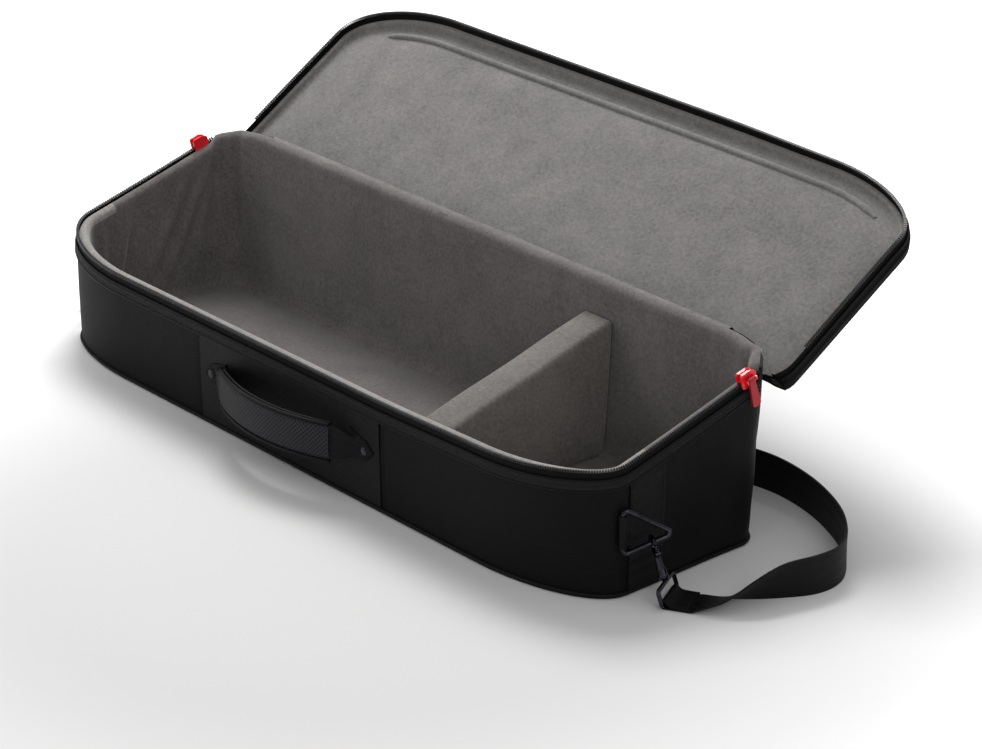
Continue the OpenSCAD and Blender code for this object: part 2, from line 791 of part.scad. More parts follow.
// Rectangular eye for the strap, with the pin that the hook turns on
module swivel_eye(side) {
    color("#77777e") shank_place(side) union() {
        rotate([90, 0, 90])
            wire_loop([[-eye_half, eye_low(side)], [eye_half, eye_low(side)],
                       [eye_half, eye_top], [-eye_half, eye_top]], eye_bend, eye_wire);
        translate([0, 0, eye_top]) cylinder(r = pin_radius, h = pin_top - eye_top);
        translate([0, 0, head_low]) cylinder(r = pin_head, h = head_top - head_low);
    }
}

// ---- Shoulder strap ----

// Doubled end of the strap, sewn round the lower bar of the eye
module strap_end(side) {
    color("#161618") on_side(side) translate(eye_spot(side)) rotate([0, 0, heading(side)]) difference() {
        union() {
            rotate([90, 0, 0]) cylinder(r = sewn_radius, h = strap_width, center = true);
            translate([0, -strap_width / 2, -sewn_radius])
                cube([sewn_length, strap_width, 2 * strap_thick]);
        }
        rotate([90, 0, 0]) cylinder(r = eye_wire + shaft_clear, h = 2 * strap_width, center = true);
    }
}

function blend(a, b, c, d, t) =
    (2 * b + (c - a) * t + (2 * a - 5 * b + 4 * c - d) * t * t
        + (3 * b - a - 3 * c + d) * t * t * t) / 2;

function smooth(points, steps) =
    concat([for (i = [0:len(points) - 2], k = [0:steps - 1])
        blend(points[max(i - 1, 0)], points[i], points[i + 1],
              points[min(i + 2, len(points) - 1)], k / steps)], [points[len(points) - 1]]);

strap_path = smooth(strap_way, strap_steps);

// Direction of the strap at one point of its path; its ends lie square to the sewn ends
function strap_along(i) =
    let (n = len(strap_path), a = strap_path[max(i - 1, 0)], b = strap_path[min(i + 1, n - 1)])
    i == 0 ? along_strap(1)
        : i == n - 1 ? [along_strap(-1)[0], -along_strap(-1)[1], 0]
        : unit([b[0] - a[0], b[1] - a[1], 0]);

// The four corners of the strap's section at one point of its path
function strap_section(i) =
    let (p = strap_path[i], t = strap_along(i), side = [t[1], -t[0], 0],
         w = [0, 0, cos(p[2])] + sin(p[2]) * side, m = cross(t, w),
         z = floor_clear + p[3] + strap_width / 2 * cos(p[2]) + strap_thick / 2 * sin(p[2]),
         c = [p[0], p[1], z])
    [for (s = [[-1, -1], [1, -1], [1, 1], [-1, 1]])
        c + s[0] * w * strap_width / 2 + s[1] * m * strap_thick / 2];

strap_run = [for (i = [1:len(strap_path) - 1])
    norm([strap_path[i][0] - strap_path[i - 1][0], strap_path[i][1] - strap_path[i - 1][1]])];
echo(strap_length = [for (i = [0:len(strap_run) - 1]) 1] * strap_run);

module shoulder_strap() {
    rings = len(strap_path);
    last = 4 * (rings - 1);
    color("#161618") polyhedron(
        points = [for (i = [0:rings - 1]) each strap_section(i)],
        faces = concat([[0, 1, 2], [0, 2, 3], [last, last + 2, last + 1], [last, last + 3, last + 2]],
            [for (i = [0:rings - 2], j = [0:3]) each
                [[4 * i + j, 4 * i + 4 + j, 4 * i + (j + 1) % 4],
                 [4 * i + (j + 1) % 4, 4 * i + 4 + j, 4 * i + 4 + (j + 1) % 4]]]));
}

// Slide that sets the strap's length, on the straight run behind the case
module strap_adjuster() {
    tall = strap_width + 2 * adjuster_wall - 2 * touch;
    middle = floor_clear + adjuster_wall + strap_width / 2;
    window = (adjuster_length - 3 * adjuster_wall) / 2;
    color("#131315") translate([adjuster_x, strap_run_y, middle]) difference() {
        translate([-adjuster_length / 2, -adjuster_half, -tall / 2])
            cube([adjuster_length, 2 * adjuster_half, tall]);
        translate([-adjuster_length, -strap_thick / 2 - touch, -strap_width / 2 - touch])
            cube([2 * adjuster_length, strap_thick + 2 * touch, strap_width + 2 * touch]);
        for (x = [-window - adjuster_wall / 2, adjuster_wall / 2])
            translate([x, -10, -strap_width / 2 - touch]) cube([window, 20, strap_width + 2 * touch]);
    }
}

// Places and axes of the joints
echo(rim_angle = rim_angle, fold_y = fold_y, fold_z = fold_z);
echo(slider_y = -half_depth + slider_along * cos(rim_angle),
     slider_z = front_height + slider_along * sin(rim_angle));
for (side = [1, -1]) echo(side = side, loop = loop_spot(side), up = shank_up(side),
    gate_x = gate_side(side), eye = eye_spot(side), turn = hook_turn(side), eye_low = eye_low(side));

bottom_panel();
bottom_piping();
outer_wall();
front_panel();
rim_band();
floor_board();
floor_pad();
front_wall_pad();
rear_wall_pad();
end_pad(-1);  // left_end_pad
end_pad(1);  // right_end_pad
base_lining();
base_zip_tape();
base_zip_teeth();
fold_piping();
hinge_fabric();
lid_cover();
lid_rim_wall();
lid_pad();
lid_rim_pad();
lid_lining();
lid_roll();
lid_zip_tape();
lid_zip_teeth();
divider_cover();
divider_core();
divider_grip_strips();
zip_slider(1);  // zip_slider_right
zip_slider(-1);  // zip_slider_left
zip_pull(1);  // zip_pull_right
zip_pull(-1);  // zip_pull_left
carry_handle();
handle_piping();
handle_end(1);  // handle_end_right
handle_end(-1);  // handle_end_left
handle_anchors();
handle_rivets();
end_strip(1);  // end_strip_right
end_strip(-1);  // end_strip_left
ring_tab(1);  // ring_tab_right
ring_tab(-1);  // ring_tab_left
triangle_ring(1);  // triangle_ring_right
triangle_ring(-1);  // triangle_ring_left
snap_hook(1);  // snap_hook_right
snap_hook(-1);  // snap_hook_left
hook_barrel(1);  // hook_barrel_right
hook_barrel(-1);  // hook_barrel_left
hook_gate(1);  // hook_gate_right
hook_gate(-1);  // hook_gate_left
swivel_eye(1);  // swivel_eye_right
swivel_eye(-1);  // swivel_eye_left
strap_end(1);  // strap_end_right
strap_end(-1);  // strap_end_left
shoulder_strap();
strap_adjuster();
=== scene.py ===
import json
import math

import bmesh
import bpy
import numpy as np
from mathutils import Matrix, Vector


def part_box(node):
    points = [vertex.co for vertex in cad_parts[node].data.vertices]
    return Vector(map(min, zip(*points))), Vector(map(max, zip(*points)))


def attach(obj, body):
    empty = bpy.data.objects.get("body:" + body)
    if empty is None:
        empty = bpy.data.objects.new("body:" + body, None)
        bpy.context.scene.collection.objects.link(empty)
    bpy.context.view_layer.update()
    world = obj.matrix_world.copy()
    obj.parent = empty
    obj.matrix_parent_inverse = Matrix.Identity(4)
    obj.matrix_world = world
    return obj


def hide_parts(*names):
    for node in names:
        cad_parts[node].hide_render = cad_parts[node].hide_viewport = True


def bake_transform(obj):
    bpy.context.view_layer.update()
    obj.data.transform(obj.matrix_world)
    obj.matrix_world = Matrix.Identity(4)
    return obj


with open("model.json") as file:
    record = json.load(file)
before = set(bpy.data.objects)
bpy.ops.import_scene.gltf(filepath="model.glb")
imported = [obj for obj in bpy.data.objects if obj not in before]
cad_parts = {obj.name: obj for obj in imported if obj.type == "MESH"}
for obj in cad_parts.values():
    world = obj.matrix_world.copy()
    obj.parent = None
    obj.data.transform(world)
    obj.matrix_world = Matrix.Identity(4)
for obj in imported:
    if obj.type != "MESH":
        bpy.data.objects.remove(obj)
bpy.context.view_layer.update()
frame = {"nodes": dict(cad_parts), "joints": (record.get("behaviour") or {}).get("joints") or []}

mm = 0.001

# The case's driving sizes, in millimetres, as the frame has them
case = {
    "frontHeight": 115.0,
    "rearHeight": 187.0,
    "frontCorner": (140.0, 60.0),
    "rearCorner": (70.0, 40.0),
    "frontLean": 1.5,      # how far the front's foot is drawn in under the zip
    "rearLean": 9.0,       # the same at the rear, where the wall is taller
    "rimSag": 1.0,         # the rim hangs this much in the middle of each end
    "rimRise": 4.0,        # and stands this much proud at the right front corner
    "zipEnd": 92.7,        # y where the zip stops at the rear corners
    "cutY": 103.9,         # y where the lid stops in front of the fold
    "lidHeight": 26.0,
}
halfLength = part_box("bottom_panel")[1].x / mm
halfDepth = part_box("bottom_panel")[1].y / mm
slope = math.atan2(case["rearHeight"] - case["frontHeight"], 2 * halfDepth)
lidHinge = next(j for j in frame["joints"] if j["name"] == "lid_hinge")
foldY, foldZ = (v / mm for v in lidHinge["pos_m"][1:])
openAngle = math.radians(lidHinge["range_deg"][1])

# Levels square to the zip line, and insets from the outline
levels = {"bandLow": -20.1, "wallTop": -11.1, "tapeTop": -4.1, "chainTop": -1.5}
lidLevels = {"chainLow": 1.5, "tapeLow": 4.1, "wallLow": 10.1, "lining": 16.5}
insideInset = 13.5
floorTop = 15.5


# Colour and node helpers

def colour(code):
    channels = [int(code[i:i + 2], 16) / 255 for i in (1, 3, 5)]
    return [c / 12.92 if c <= 0.04045 else ((c + 0.055) / 1.055) ** 2.4 for c in channels] + [1.0]


def addNode(tree, kind, inputs=None, **settings):
    made = tree.nodes.new(kind)
    for name, value in settings.items():
        setattr(made, name, value)
    for name, value in (inputs or {}).items():
        if isinstance(value, bpy.types.NodeSocket):
            tree.links.new(value, made.inputs[name])
        else:
            made.inputs[name].default_value = value
    return made


def newMaterial(name, roughness, metallic=0.0, sheen=0.0, coat=0.0, specular=0.5):
    made = bpy.data.materials.new(name)
    made.use_nodes = True
    shader = made.node_tree.nodes["Principled BSDF"]
    shader.inputs["Roughness"].default_value = roughness
    shader.inputs["Metallic"].default_value = metallic
    shader.inputs["Sheen Weight"].default_value = sheen
    shader.inputs["Coat Weight"].default_value = coat
    shader.inputs["Specular IOR Level"].default_value = specular
    return made, made.node_tree, shader


def blendColours(tree, factor, first, second, low=0.0, high=1.0):
    ramp = addNode(tree, "ShaderNodeValToRGB", {"Fac": factor})
    ramp.color_ramp.elements[0].position = low
    ramp.color_ramp.elements[1].position = high
    ramp.color_ramp.elements[0].color = colour(first)
    ramp.color_ramp.elements[1].color = colour(second)
    return ramp.outputs["Color"]


def bump(tree, shader, height, strength, distance):
    made = addNode(tree, "ShaderNodeBump", {"Height": height, "Strength": strength, "Distance": distance})
    tree.links.new(made.outputs["Normal"], shader.inputs["Normal"])


# Materials

# Coated polyester cloth, plain weave of coarse black yarn: near black with a faint sheen.
# The yarn is 0.6 mm; it is drawn at threadMm so that it shows.
def wovenPolyester(name, dark, light, threadMm=1.6, roughness=0.62):
    made, tree, shader = newMaterial(name, roughness, specular=0.13)
    coords = addNode(tree, "ShaderNodeTexCoord")
    split = addNode(tree, "ShaderNodeSeparateXYZ", {"Vector": coords.outputs["UV"]})
    waves = []
    for axis in "XY":
        turns = addNode(tree, "ShaderNodeMath", {0: split.outputs[axis], 1: math.pi / (threadMm * mm)},
                        operation="MULTIPLY")
        waves.append(addNode(tree, "ShaderNodeMath", {0: turns.outputs[0]}, operation="SINE"))
    weave = addNode(tree, "ShaderNodeMath", {0: waves[0].outputs[0], 1: waves[1].outputs[0]},
                    operation="MULTIPLY")
    reliefAndShade = addNode(tree, "ShaderNodeMath", {0: weave.outputs[0], 1: 0.5, 2: 0.5}, operation="MULTIPLY_ADD")
    worn = addNode(tree, "ShaderNodeTexNoise", {"Vector": coords.outputs["Object"], "Scale": 14.0,
                                                "Detail": 5.0})
    weaveShadeAndWear = addNode(tree, "ShaderNodeMath", {0: reliefAndShade.outputs[0], 1: worn.outputs["Fac"]},
                    operation="MULTIPLY")
    # The colour follows the weave's relief times the wear noise: painted shade between the threads, with wear
    # in patches
    shade = blendColours(tree, weaveShadeAndWear.outputs[0], dark, light, 0.05, 0.75)
    tree.links.new(shade, shader.inputs["Base Color"])
    bump(tree, shader, reliefAndShade.outputs[0], 0.5, 0.0003)
    return made


# Air mesh over foam: a net of small diamond holes, with painted shade inside each hole.
# The holes are 1.2 mm; they are drawn at holeMm so that they show.
def airMesh(name, dark, light, holeMm=2.6):
    made, tree, shader = newMaterial(name, 0.5, specular=0.16)
    coords = addNode(tree, "ShaderNodeTexCoord")
    turned = addNode(tree, "ShaderNodeMapping", {"Vector": coords.outputs["UV"],
                                                 "Rotation": (0.0, 0.0, math.radians(45))})
    cells = addNode(tree, "ShaderNodeTexVoronoi", {"Vector": turned.outputs[0],
                    "Scale": 1 / (holeMm * mm), "Randomness": 0.0}, distance="MINKOWSKI")
    cells.inputs["Exponent"].default_value = 1.2
    # Painted shade: the colour darkens towards the middle of each hole, where the bump sinks
    shade = blendColours(tree, cells.outputs["Distance"], dark, light, 0.25, 0.5)
    tree.links.new(shade, shader.inputs["Base Color"])
    bump(tree, shader, cells.outputs["Distance"], 0.8, 0.0008)
    return made


# Heavy polyester webbing: ribs across its length and a herringbone of fine yarn, with painted shade in the
# grooves and painted highlight on the ridges
def ribbedWebbing(name, dark, light, ribMm=2.2, depth=0.0006):
    made, tree, shader = newMaterial(name, 0.5, specular=0.16)
    coords = addNode(tree, "ShaderNodeTexCoord")
    split = addNode(tree, "ShaderNodeSeparateXYZ", {"Vector": coords.outputs["UV"]})
    zig = addNode(tree, "ShaderNodeMath", {0: split.outputs["Y"], 1: 6.0 * mm}, operation="PINGPONG")
    along = addNode(tree, "ShaderNodeMath", {0: split.outputs["X"], 1: zig.outputs[0]}, operation="ADD")
    turns = addNode(tree, "ShaderNodeMath", {0: along.outputs[0], 1: 2 * math.pi / (ribMm * mm)},
                    operation="MULTIPLY")
    rib = addNode(tree, "ShaderNodeMath", {0: turns.outputs[0]}, operation="SINE")
    reliefAndShade = addNode(tree, "ShaderNodeMath", {0: rib.outputs[0], 1: 0.5, 2: 0.5}, operation="MULTIPLY_ADD")
    # Painted shade and highlight: the colour follows the ribs' relief, dark in the grooves and light on the
    # ridges
    shade = blendColours(tree, reliefAndShade.outputs[0], dark, light)
    tree.links.new(shade, shader.inputs["Base Color"])
    bump(tree, shader, reliefAndShade.outputs[0], 0.6, depth)
    return made


# Brushed tricot lining: a short nap that lies in patches, so its grey drifts softly
def plushLining(name, dark, light, napMm=1.6):
    made, tree, shader = newMaterial(name, 0.95, sheen=0.35, specular=0.1)
    coords = addNode(tree, "ShaderNodeTexCoord")
    patches = addNode(tree, "ShaderNodeTexNoise", {"Vector": coords.outputs["Object"], "Scale": 22.0,
                                                   "Detail": 6.0, "Roughness": 0.65})
    nap = addNode(tree, "ShaderNodeTexNoise", {"Vector": coords.outputs["Object"],
                                               "Scale": 0.5 / (napMm * mm), "Detail": 3.0})
    both = addNode(tree, "ShaderNodeMath", {0: nap.outputs["Fac"], 1: 0.55, 2: 0.0}, operation="MULTIPLY_ADD")
    tree.links.new(addNode(tree, "ShaderNodeMath", {0: patches.outputs["Fac"], 1: 0.45},
                           operation="MULTIPLY").outputs[0], both.inputs[2])
    shade = blendColours(tree, both.outputs[0], dark, light, 0.35, 0.65)
    tree.links.new(shade, shader.inputs["Base Color"])
    bump(tree, shader, both.outputs[0], 0.45, 0.0007)
    return made


# Plain surface with fine grain: moulded nylon, enamel, silicone rubber or dark plated steel
def grained(name, dark, light, roughness, grainMm=0.5, depth=0.00005, **finish):
    made, tree, shader = newMaterial(name, roughness, **finish)
    coords = addNode(tree, "ShaderNodeTexCoord")
    grain = addNode(tree, "ShaderNodeTexNoise", {"Vector": coords.outputs["Object"],
                                                 "Scale": 1 / (grainMm * mm), "Detail": 2.0})
    worn = addNode(tree, "ShaderNodeTexNoise", {"Vector": coords.outputs["Object"], "Scale": 60.0,
                                                "Detail": 4.0})
    shade = blendColours(tree, worn.outputs["Fac"], dark, light, 0.3, 0.7)
    tree.links.new(shade, shader.inputs["Base Color"])
    rubbed = addNode(tree, "ShaderNodeMapRange", {"Value": worn.outputs["Fac"], "To Min": roughness * 0.75,
                                                  "To Max": min(1.0, roughness * 1.3)})
    tree.links.new(rubbed.outputs["Result"], shader.inputs["Roughness"])
    bump(tree, shader, grain.outputs["Fac"], 0.3, depth)
    return made


shellCloth = wovenPolyester("coatedPolyesterCloth", "#040405", "#0e0e10")
bottomCloth = wovenPolyester("bottomTarpaulin", "#030304", "#0b0b0c", threadMm=2.4, roughness=0.5)
tapeCloth = wovenPolyester("zipTapeTwill", "#030304", "#0a0a0b", threadMm=1.2, roughness=0.7)
panelMesh = airMesh("honeycombMesh", "#030303", "#0f0f11")
gripMesh = airMesh("gripMesh", "#020202", "#2c2c30", holeMm=3.2)
bandWebbing = ribbedWebbing("ribbedRimBand", "#030303", "#232326", ribMm=2.6, depth=0.0008)
strapWebbing = ribbedWebbing("strapWebbing", "#030304", "#0e0e10", ribMm=2.0)
binding = ribbedWebbing("bindingTape", "#030304", "#0d0d0f", ribMm=1.6, depth=0.0003)
lidPlush = plushLining("lidTricot", "#5f5d5c", "#7e7b79")
# The same tricot painted lighter: painted light for the front wall's flat top
paintedLightCapPlush = plushLining("capTricotPaintedLight", "#7d7a78", "#9c9996")
basePlush = plushLining("baseTricot", "#555150", "#706c6a")
dividerPlush = plushLining("dividerTricot", "#5e5a57", "#7b7672")
gripTape = ribbedWebbing("hookTape", "#1c1b1b", "#3b3938", ribMm=1.5)
# Coil of nylon, dyed black: small dull glints
teethNylon = grained("coilNylon", "#101012", "#26262b", 0.38, specular=0.35)
# Sprayed enamel on cast zinc: bright and smooth
enamelRed = grained("redEnamel", "#e3131f", "#f01f2b", 0.34, coat=0.25)
# Moulded silicone: a deeper, softer red
rubberRed = grained("redSilicone", "#96121d", "#b01824", 0.5, depth=0.0001)
# Black nickel on steel wire, polished: dark with sharp reflections
darkPlate = grained("blackNickel", "#26262a", "#404047", 0.1, grainMm=1.5, depth=0.00002, metallic=1.0)
# Pressed steel caps, oiled black
rivetSteel = grained("rivetSteel", "#2c2c30", "#55555c", 0.25, metallic=1.0)
# Moulded nylon: dull black with fine grain
adjusterNylon = grained("mouldedNylon", "#060607", "#0f0f11", 0.5, specular=0.25)
# Bonded polyester thread
threadBlack = grained("blackThread", "#0a0a0b", "#1c1c20", 0.6, specular=0.2)
threadGrey = grained("greyThread", "#5f5b59", "#8d8885", 0.7)
print("materials ready")


# Outline of the case

def cornerPoints(centre, radii, start, count=40):
    angles = np.radians(start + np.arange(count) * 90 / count)
    points = np.stack([centre[0] + radii[0] * np.cos(angles), centre[1] + radii[1] * np.sin(angles)], 1)
    return points


def makeOutline():
    fx, fy = case["frontCorner"]
    rx, ry = case["rearCorner"]
    left, right = fx - halfLength, halfLength - fx
    front, rear = fy - halfDepth, halfDepth - ry
    rows = [
        np.array([[-halfLength, rear]]),
        cornerPoints((left, front), (fx, fy), 180),
        cornerPoints((right, front), (fx, fy), 270),
        np.array([[halfLength, front]]),
        cornerPoints((halfLength - rx, rear), (rx, ry), 0),
        cornerPoints((rx - halfLength, rear), (rx, ry), 90),
    ]
    return np.concatenate(rows)


outline = makeOutline()
outlineStep = np.linalg.norm(np.roll(outline, -1, 0) - outline, axis=1)
outlineArc = np.concatenate([[0.0], np.cumsum(outlineStep)])
outlineLength = outlineArc[-1]
# Arc length from the start, at the left end's rear corner, to the right end's rear corner
rearRightArc = outlineArc[np.argmax((outline[:, 0] > halfLength - 0.01) & (outline[:, 1] > 0))]
zipSpare = case["zipEnd"] - (halfDepth - case["rearCorner"][1])


def pointAt(arc):
    arc = np.mod(arc, outlineLength)
    closed = np.vstack([outline, outline[:1]])
    return np.stack([np.interp(arc, outlineArc, closed[:, 0]), np.interp(arc, outlineArc, closed[:, 1])], -1)


def makeRun(start, end, step=7.0, closed=False):
    count = max(2, int(round((end - start) / step)) + 1)
    arcs = np.linspace(start, end, count)
    if closed:
        arcs = arcs[:-1]
    ahead, behind = pointAt(arcs + 2.0), pointAt(arcs - 2.0)
    along = ahead - behind
    along /= np.linalg.norm(along, axis=1)[:, None]
    return {"arc": arcs, "points": pointAt(arcs), "normals": np.stack([along[:, 1], -along[:, 0]], 1),
            "closed": closed}


def arcOf(x, y):
    arcs = np.linspace(0, outlineLength, 8000)
    return arcs[np.argmin(np.linalg.norm(pointAt(arcs) - np.array([x, y]), axis=1))]


def ease(value):
    t = np.clip(value, 0.0, 1.0)
    return t * t * (3 - 2 * t)


def sagAt(x, y):
    sag = case["rimSag"] * ease((np.abs(x) - 300) / 110) * np.clip(1 - ((y + 20) / 92) ** 2, 0, 1)
    return sag - case["rimRise"] * ease((x - 120) / 200) * ease((-y - 60) / 50)


def leanAt(y):
    return case["frontLean"] + (case["rearLean"] - case["frontLean"]) * ease((y + 90) / 180)


def rimHeight(x, y, level, sagShare=1.0):
    rise = (level + (y + halfDepth) * math.sin(slope)) / math.cos(slope)
    return case["frontHeight"] + rise - sagShare * sagAt(x, y)


# One row of points round a run. share goes from 0 at height low to 1 at the zip line.
def baseRow(run, inset, level=0.0, share=1.0, low=0.0):
    lean = leanAt(run["points"][:, 1]) * (1 - share) ** 1.4
    xy = run["points"] - run["normals"] * np.reshape(inset + lean, (-1, 1))
    z = low * (1 - share) + rimHeight(xy[:, 0], xy[:, 1], level) * share
    return np.column_stack([xy, z])


# The lid is cut square to the slope in front of the fold, and has no rim wall along that edge
def lidRow(run, inset, level):
    xy = run["points"] - run["normals"] * np.reshape(inset, (-1, 1))
    rear = run.get("rear", np.zeros(len(xy)))
    levelThere = level + (max(level, lidLevels["lining"]) - level) * rear
    cut = case["cutY"] - levelThere * math.sin(slope) - 0.35 * max(inset, 0.0) * rear
    xy[:, 1] = np.minimum(xy[:, 1], cut)
    share = 1 - np.clip(levelThere / case["lidHeight"], 0, 1)
    return np.column_stack([xy, rimHeight(xy[:, 0], xy[:, 1], levelThere, share)])


def openLid(points):
    y, z = points[:, 1] - foldY, points[:, 2] - foldZ
    c, s = math.cos(-openAngle), math.sin(-openAngle)
    return np.column_stack([points[:, 0], foldY + y * c - z * s, foldZ + y * s + z * c])


# Slow, smooth unevenness of cloth, from a few crossed waves
def unevenness(points, size=60.0, seed=1.0):
    p = np.asarray(points) / size
    total = np.zeros(len(p))
    for k in range(1, 6):
        a, b, c = math.sin(12.9 * k + seed), math.sin(7.3 * k + 2 * seed), math.sin(4.1 * k + 3 * seed)
        total += np.sin(p[:, 0] * (a + 0.6) * k + p[:, 1] * b * k * 1.7 + p[:, 2] * c * k * 1.4 + 5 * a) / k
    return total / 1.6


# Mesh helpers

def addPiece(name, points, faces, uvs, material, slotName, body=None, hides=(), sharp=38.0, materials=None,
             faceSlots=None):
    mesh = bpy.data.meshes.new(name)
    mesh.from_pydata([tuple(p * mm) for p in np.asarray(points, float)], [], faces)
    layer = mesh.uv_layers.new(name="UVMap")
    if uvs is not None:
        flat = np.array([uv for face in uvs for uv in face], np.float32) * mm
        layer.data.foreach_set("uv", flat.ravel())
    for m in (materials or [material]):
        mesh.materials.append(m)
    if faceSlots is not None:
        mesh.polygons.foreach_set("material_index", faceSlots)
    return finishPiece(name, mesh, body, hides, sharp)


def finishPiece(name, mesh, body, hides=(), sharp=38.0):
    work = bmesh.new()
    work.from_mesh(mesh)
    bmesh.ops.remove_doubles(work, verts=work.verts, dist=0.000005)
    bmesh.ops.recalc_face_normals(work, faces=work.faces)
    for face in work.faces:
        face.smooth = True
    for edge in work.edges:
        if len(edge.link_faces) == 2 and edge.calc_face_angle(0) > math.radians(sharp):
            edge.smooth = False
    work.to_mesh(mesh)
    work.free()
    made = bpy.data.objects.new(name, mesh)
    bpy.context.scene.collection.objects.link(made)
    if hides:
        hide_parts(*hides)
    if body:
        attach(made, body)
    return made


# A rigid piece of the frame keeps its mesh and gets its finish
def dress(name, finish):
    slots = frame["nodes"][name].data.materials
    slots.clear()
    slots.append(finish)


# Joins rows of points into a surface. closedRows joins the last row to the first.
def rowFaces(rows, arcs, closedRun, closedRows, capEnds):
    n, m = len(rows[0]), len(rows)
    across = [0.0]
    middle = n // 3
    for j in range(1, m + (1 if closedRows else 0)):
        across.append(across[-1] + float(np.linalg.norm(rows[j % m][middle] - rows[j - 1][middle])))
    arcs = list(arcs) + [arcs[-1] + (arcs[-1] - arcs[-2])]
    faces, uvs = [], []
    for j in range(m if closedRows else m - 1):
        k = (j + 1) % m
        for i in range(n if closedRun else n - 1):
            h = (i + 1) % n
            faces.append([j * n + i, j * n + h, k * n + h, k * n + i])
            uvs.append([(arcs[i], across[j]), (arcs[i + 1], across[j]),
                        (arcs[i + 1], across[j + 1]), (arcs[i], across[j + 1])])
    if capEnds == "rows":                      # close a surface at its first and last row
        for j in (0, m - 1):
            faces.append([j * n + i for i in range(n)])
            uvs.append([(rows[j][i][0], rows[j][i][1]) for i in range(n)])
    if capEnds == "run":
        for i in (0, n - 1):
            faces.append([j * n + i for j in range(m)])
            uvs.append([(rows[j][i][1], rows[j][i][2]) for j in range(m)])
    return faces, uvs


def surface(name, rows, arcs, material, slotName, body=None, closedRun=False, closedRows=True, capEnds="run",
            hides=(), sharp=38.0, **extra):
    faces, uvs = rowFaces(rows, arcs, closedRun, closedRows, capEnds)
    return addPiece(name, np.concatenate(rows), faces, uvs, material, slotName, body, hides, sharp, **extra)


# Rows that shrink from a ring towards the middle line of the case, for padded panels
def pillowRows(ring, heightAt, shares, reach=300.0):
    centreY = float(np.mean(ring[:, 1]))
    rows = []
    for share in shares:
        x = ring[:, 0] * (1 - share) + np.clip(ring[:, 0], -reach, reach) * share
        y = ring[:, 1] * (1 - share) + centreY * share
        rows.append(np.column_stack([x, y, heightAt(x, y, share)]))
    return rows


# A box with rounded edges. Each half side has cuts cells and 3 more round the edge, and place moves
# each point, given in mm from the middle.
def roundedBlock(name, half, radius, place, material, body, hides=(), cuts=6):
    work = bmesh.new()
    bmesh.ops.create_cube(work, size=2.0)
    count = 2 * cuts + 6
    bmesh.ops.subdivide_edges(work, edges=work.edges, cuts=count - 1, use_grid_fill=True)
    layer = work.loops.layers.uv.new("UVMap")
    for vert in work.verts:
        spot = []
        for value, size in zip(vert.co, half):
            k = round(abs(value) * count / 2)
            near = min(k, cuts) / cuts * (size - radius)
            spot.append(math.copysign(near + radius * max(0, k - cuts) / 3, value))
        core = [math.copysign(min(abs(v), size - radius), v) for v, size in zip(spot, half)]
        away = Vector(spot) - Vector(core)
        if away.length > 1e-6:
            away *= max(abs(v) for v in away) / away.length
        vert.co = Vector(place(*[c + a for c, a in zip(core, away)])) * mm
    for face in work.faces:
        face.normal_update()
        normal = face.normal
        for loop in face.loops:
            x, y, z = loop.vert.co
            loop[layer].uv = (y, z) if abs(normal.x) > 0.7 else (x, y) if abs(normal.z) > 0.7 else (x, z)
    mesh = bpy.data.meshes.new(name)
    work.to_mesh(mesh)
    work.free()
    mesh.materials.append(material)
    return finishPiece(name, mesh, body, hides, sharp=80.0)


# A round cord through points, such as piping; radius may vary along it
def cordRows(points, radius, sides=8, closed=False):
    points = np.asarray(points, float)
    along = (np.roll(points, -1, 0) - np.roll(points, 1, 0)) if closed else np.gradient(points, axis=0)
    along /= np.linalg.norm(along, axis=1)[:, None]
    side = np.cross(along, np.array([0.0, 0.0, 1.0]))
    side /= np.linalg.norm(side, axis=1)[:, None]
    up = np.cross(side, along)
    radius = np.reshape(np.broadcast_to(radius, len(points)), (-1, 1))
    angles = np.arange(sides) * 2 * math.pi / sides
    return [points + radius * (side * math.cos(a) + up * math.sin(a)) for a in angles]


# A flat band along a path; wide is the direction and length across it, out is its thickness
def bandRows(path, wide, out):
    path, wide, out = np.asarray(path, float), np.asarray(wide, float), np.asarray(out, float)
    corners = [(-0.5, -0.35), (-0.48, -0.5), (0.48, -0.5), (0.5, -0.35),
               (0.5, 0.35), (0.48, 0.5), (-0.48, 0.5), (-0.5, 0.35)]
    return [path + wide * w + out * t for w, t in corners]


def arcLengths(points):
    steps = np.linalg.norm(np.diff(np.asarray(points, float), axis=0), axis=1)
    return np.concatenate([[0.0], np.cumsum(steps)])


def piping(name, points, radius, material, slotName, body=None, closed=False, hides=(), sides=8):
    return surface(name, cordRows(points, radius, sides, closed), arcLengths(points), material, slotName,
                   body,
                   closedRun=closed, capEnds="none" if closed else "run", hides=hides, sharp=60.0)


# Rows of repeats along a line, made with Geometry Nodes

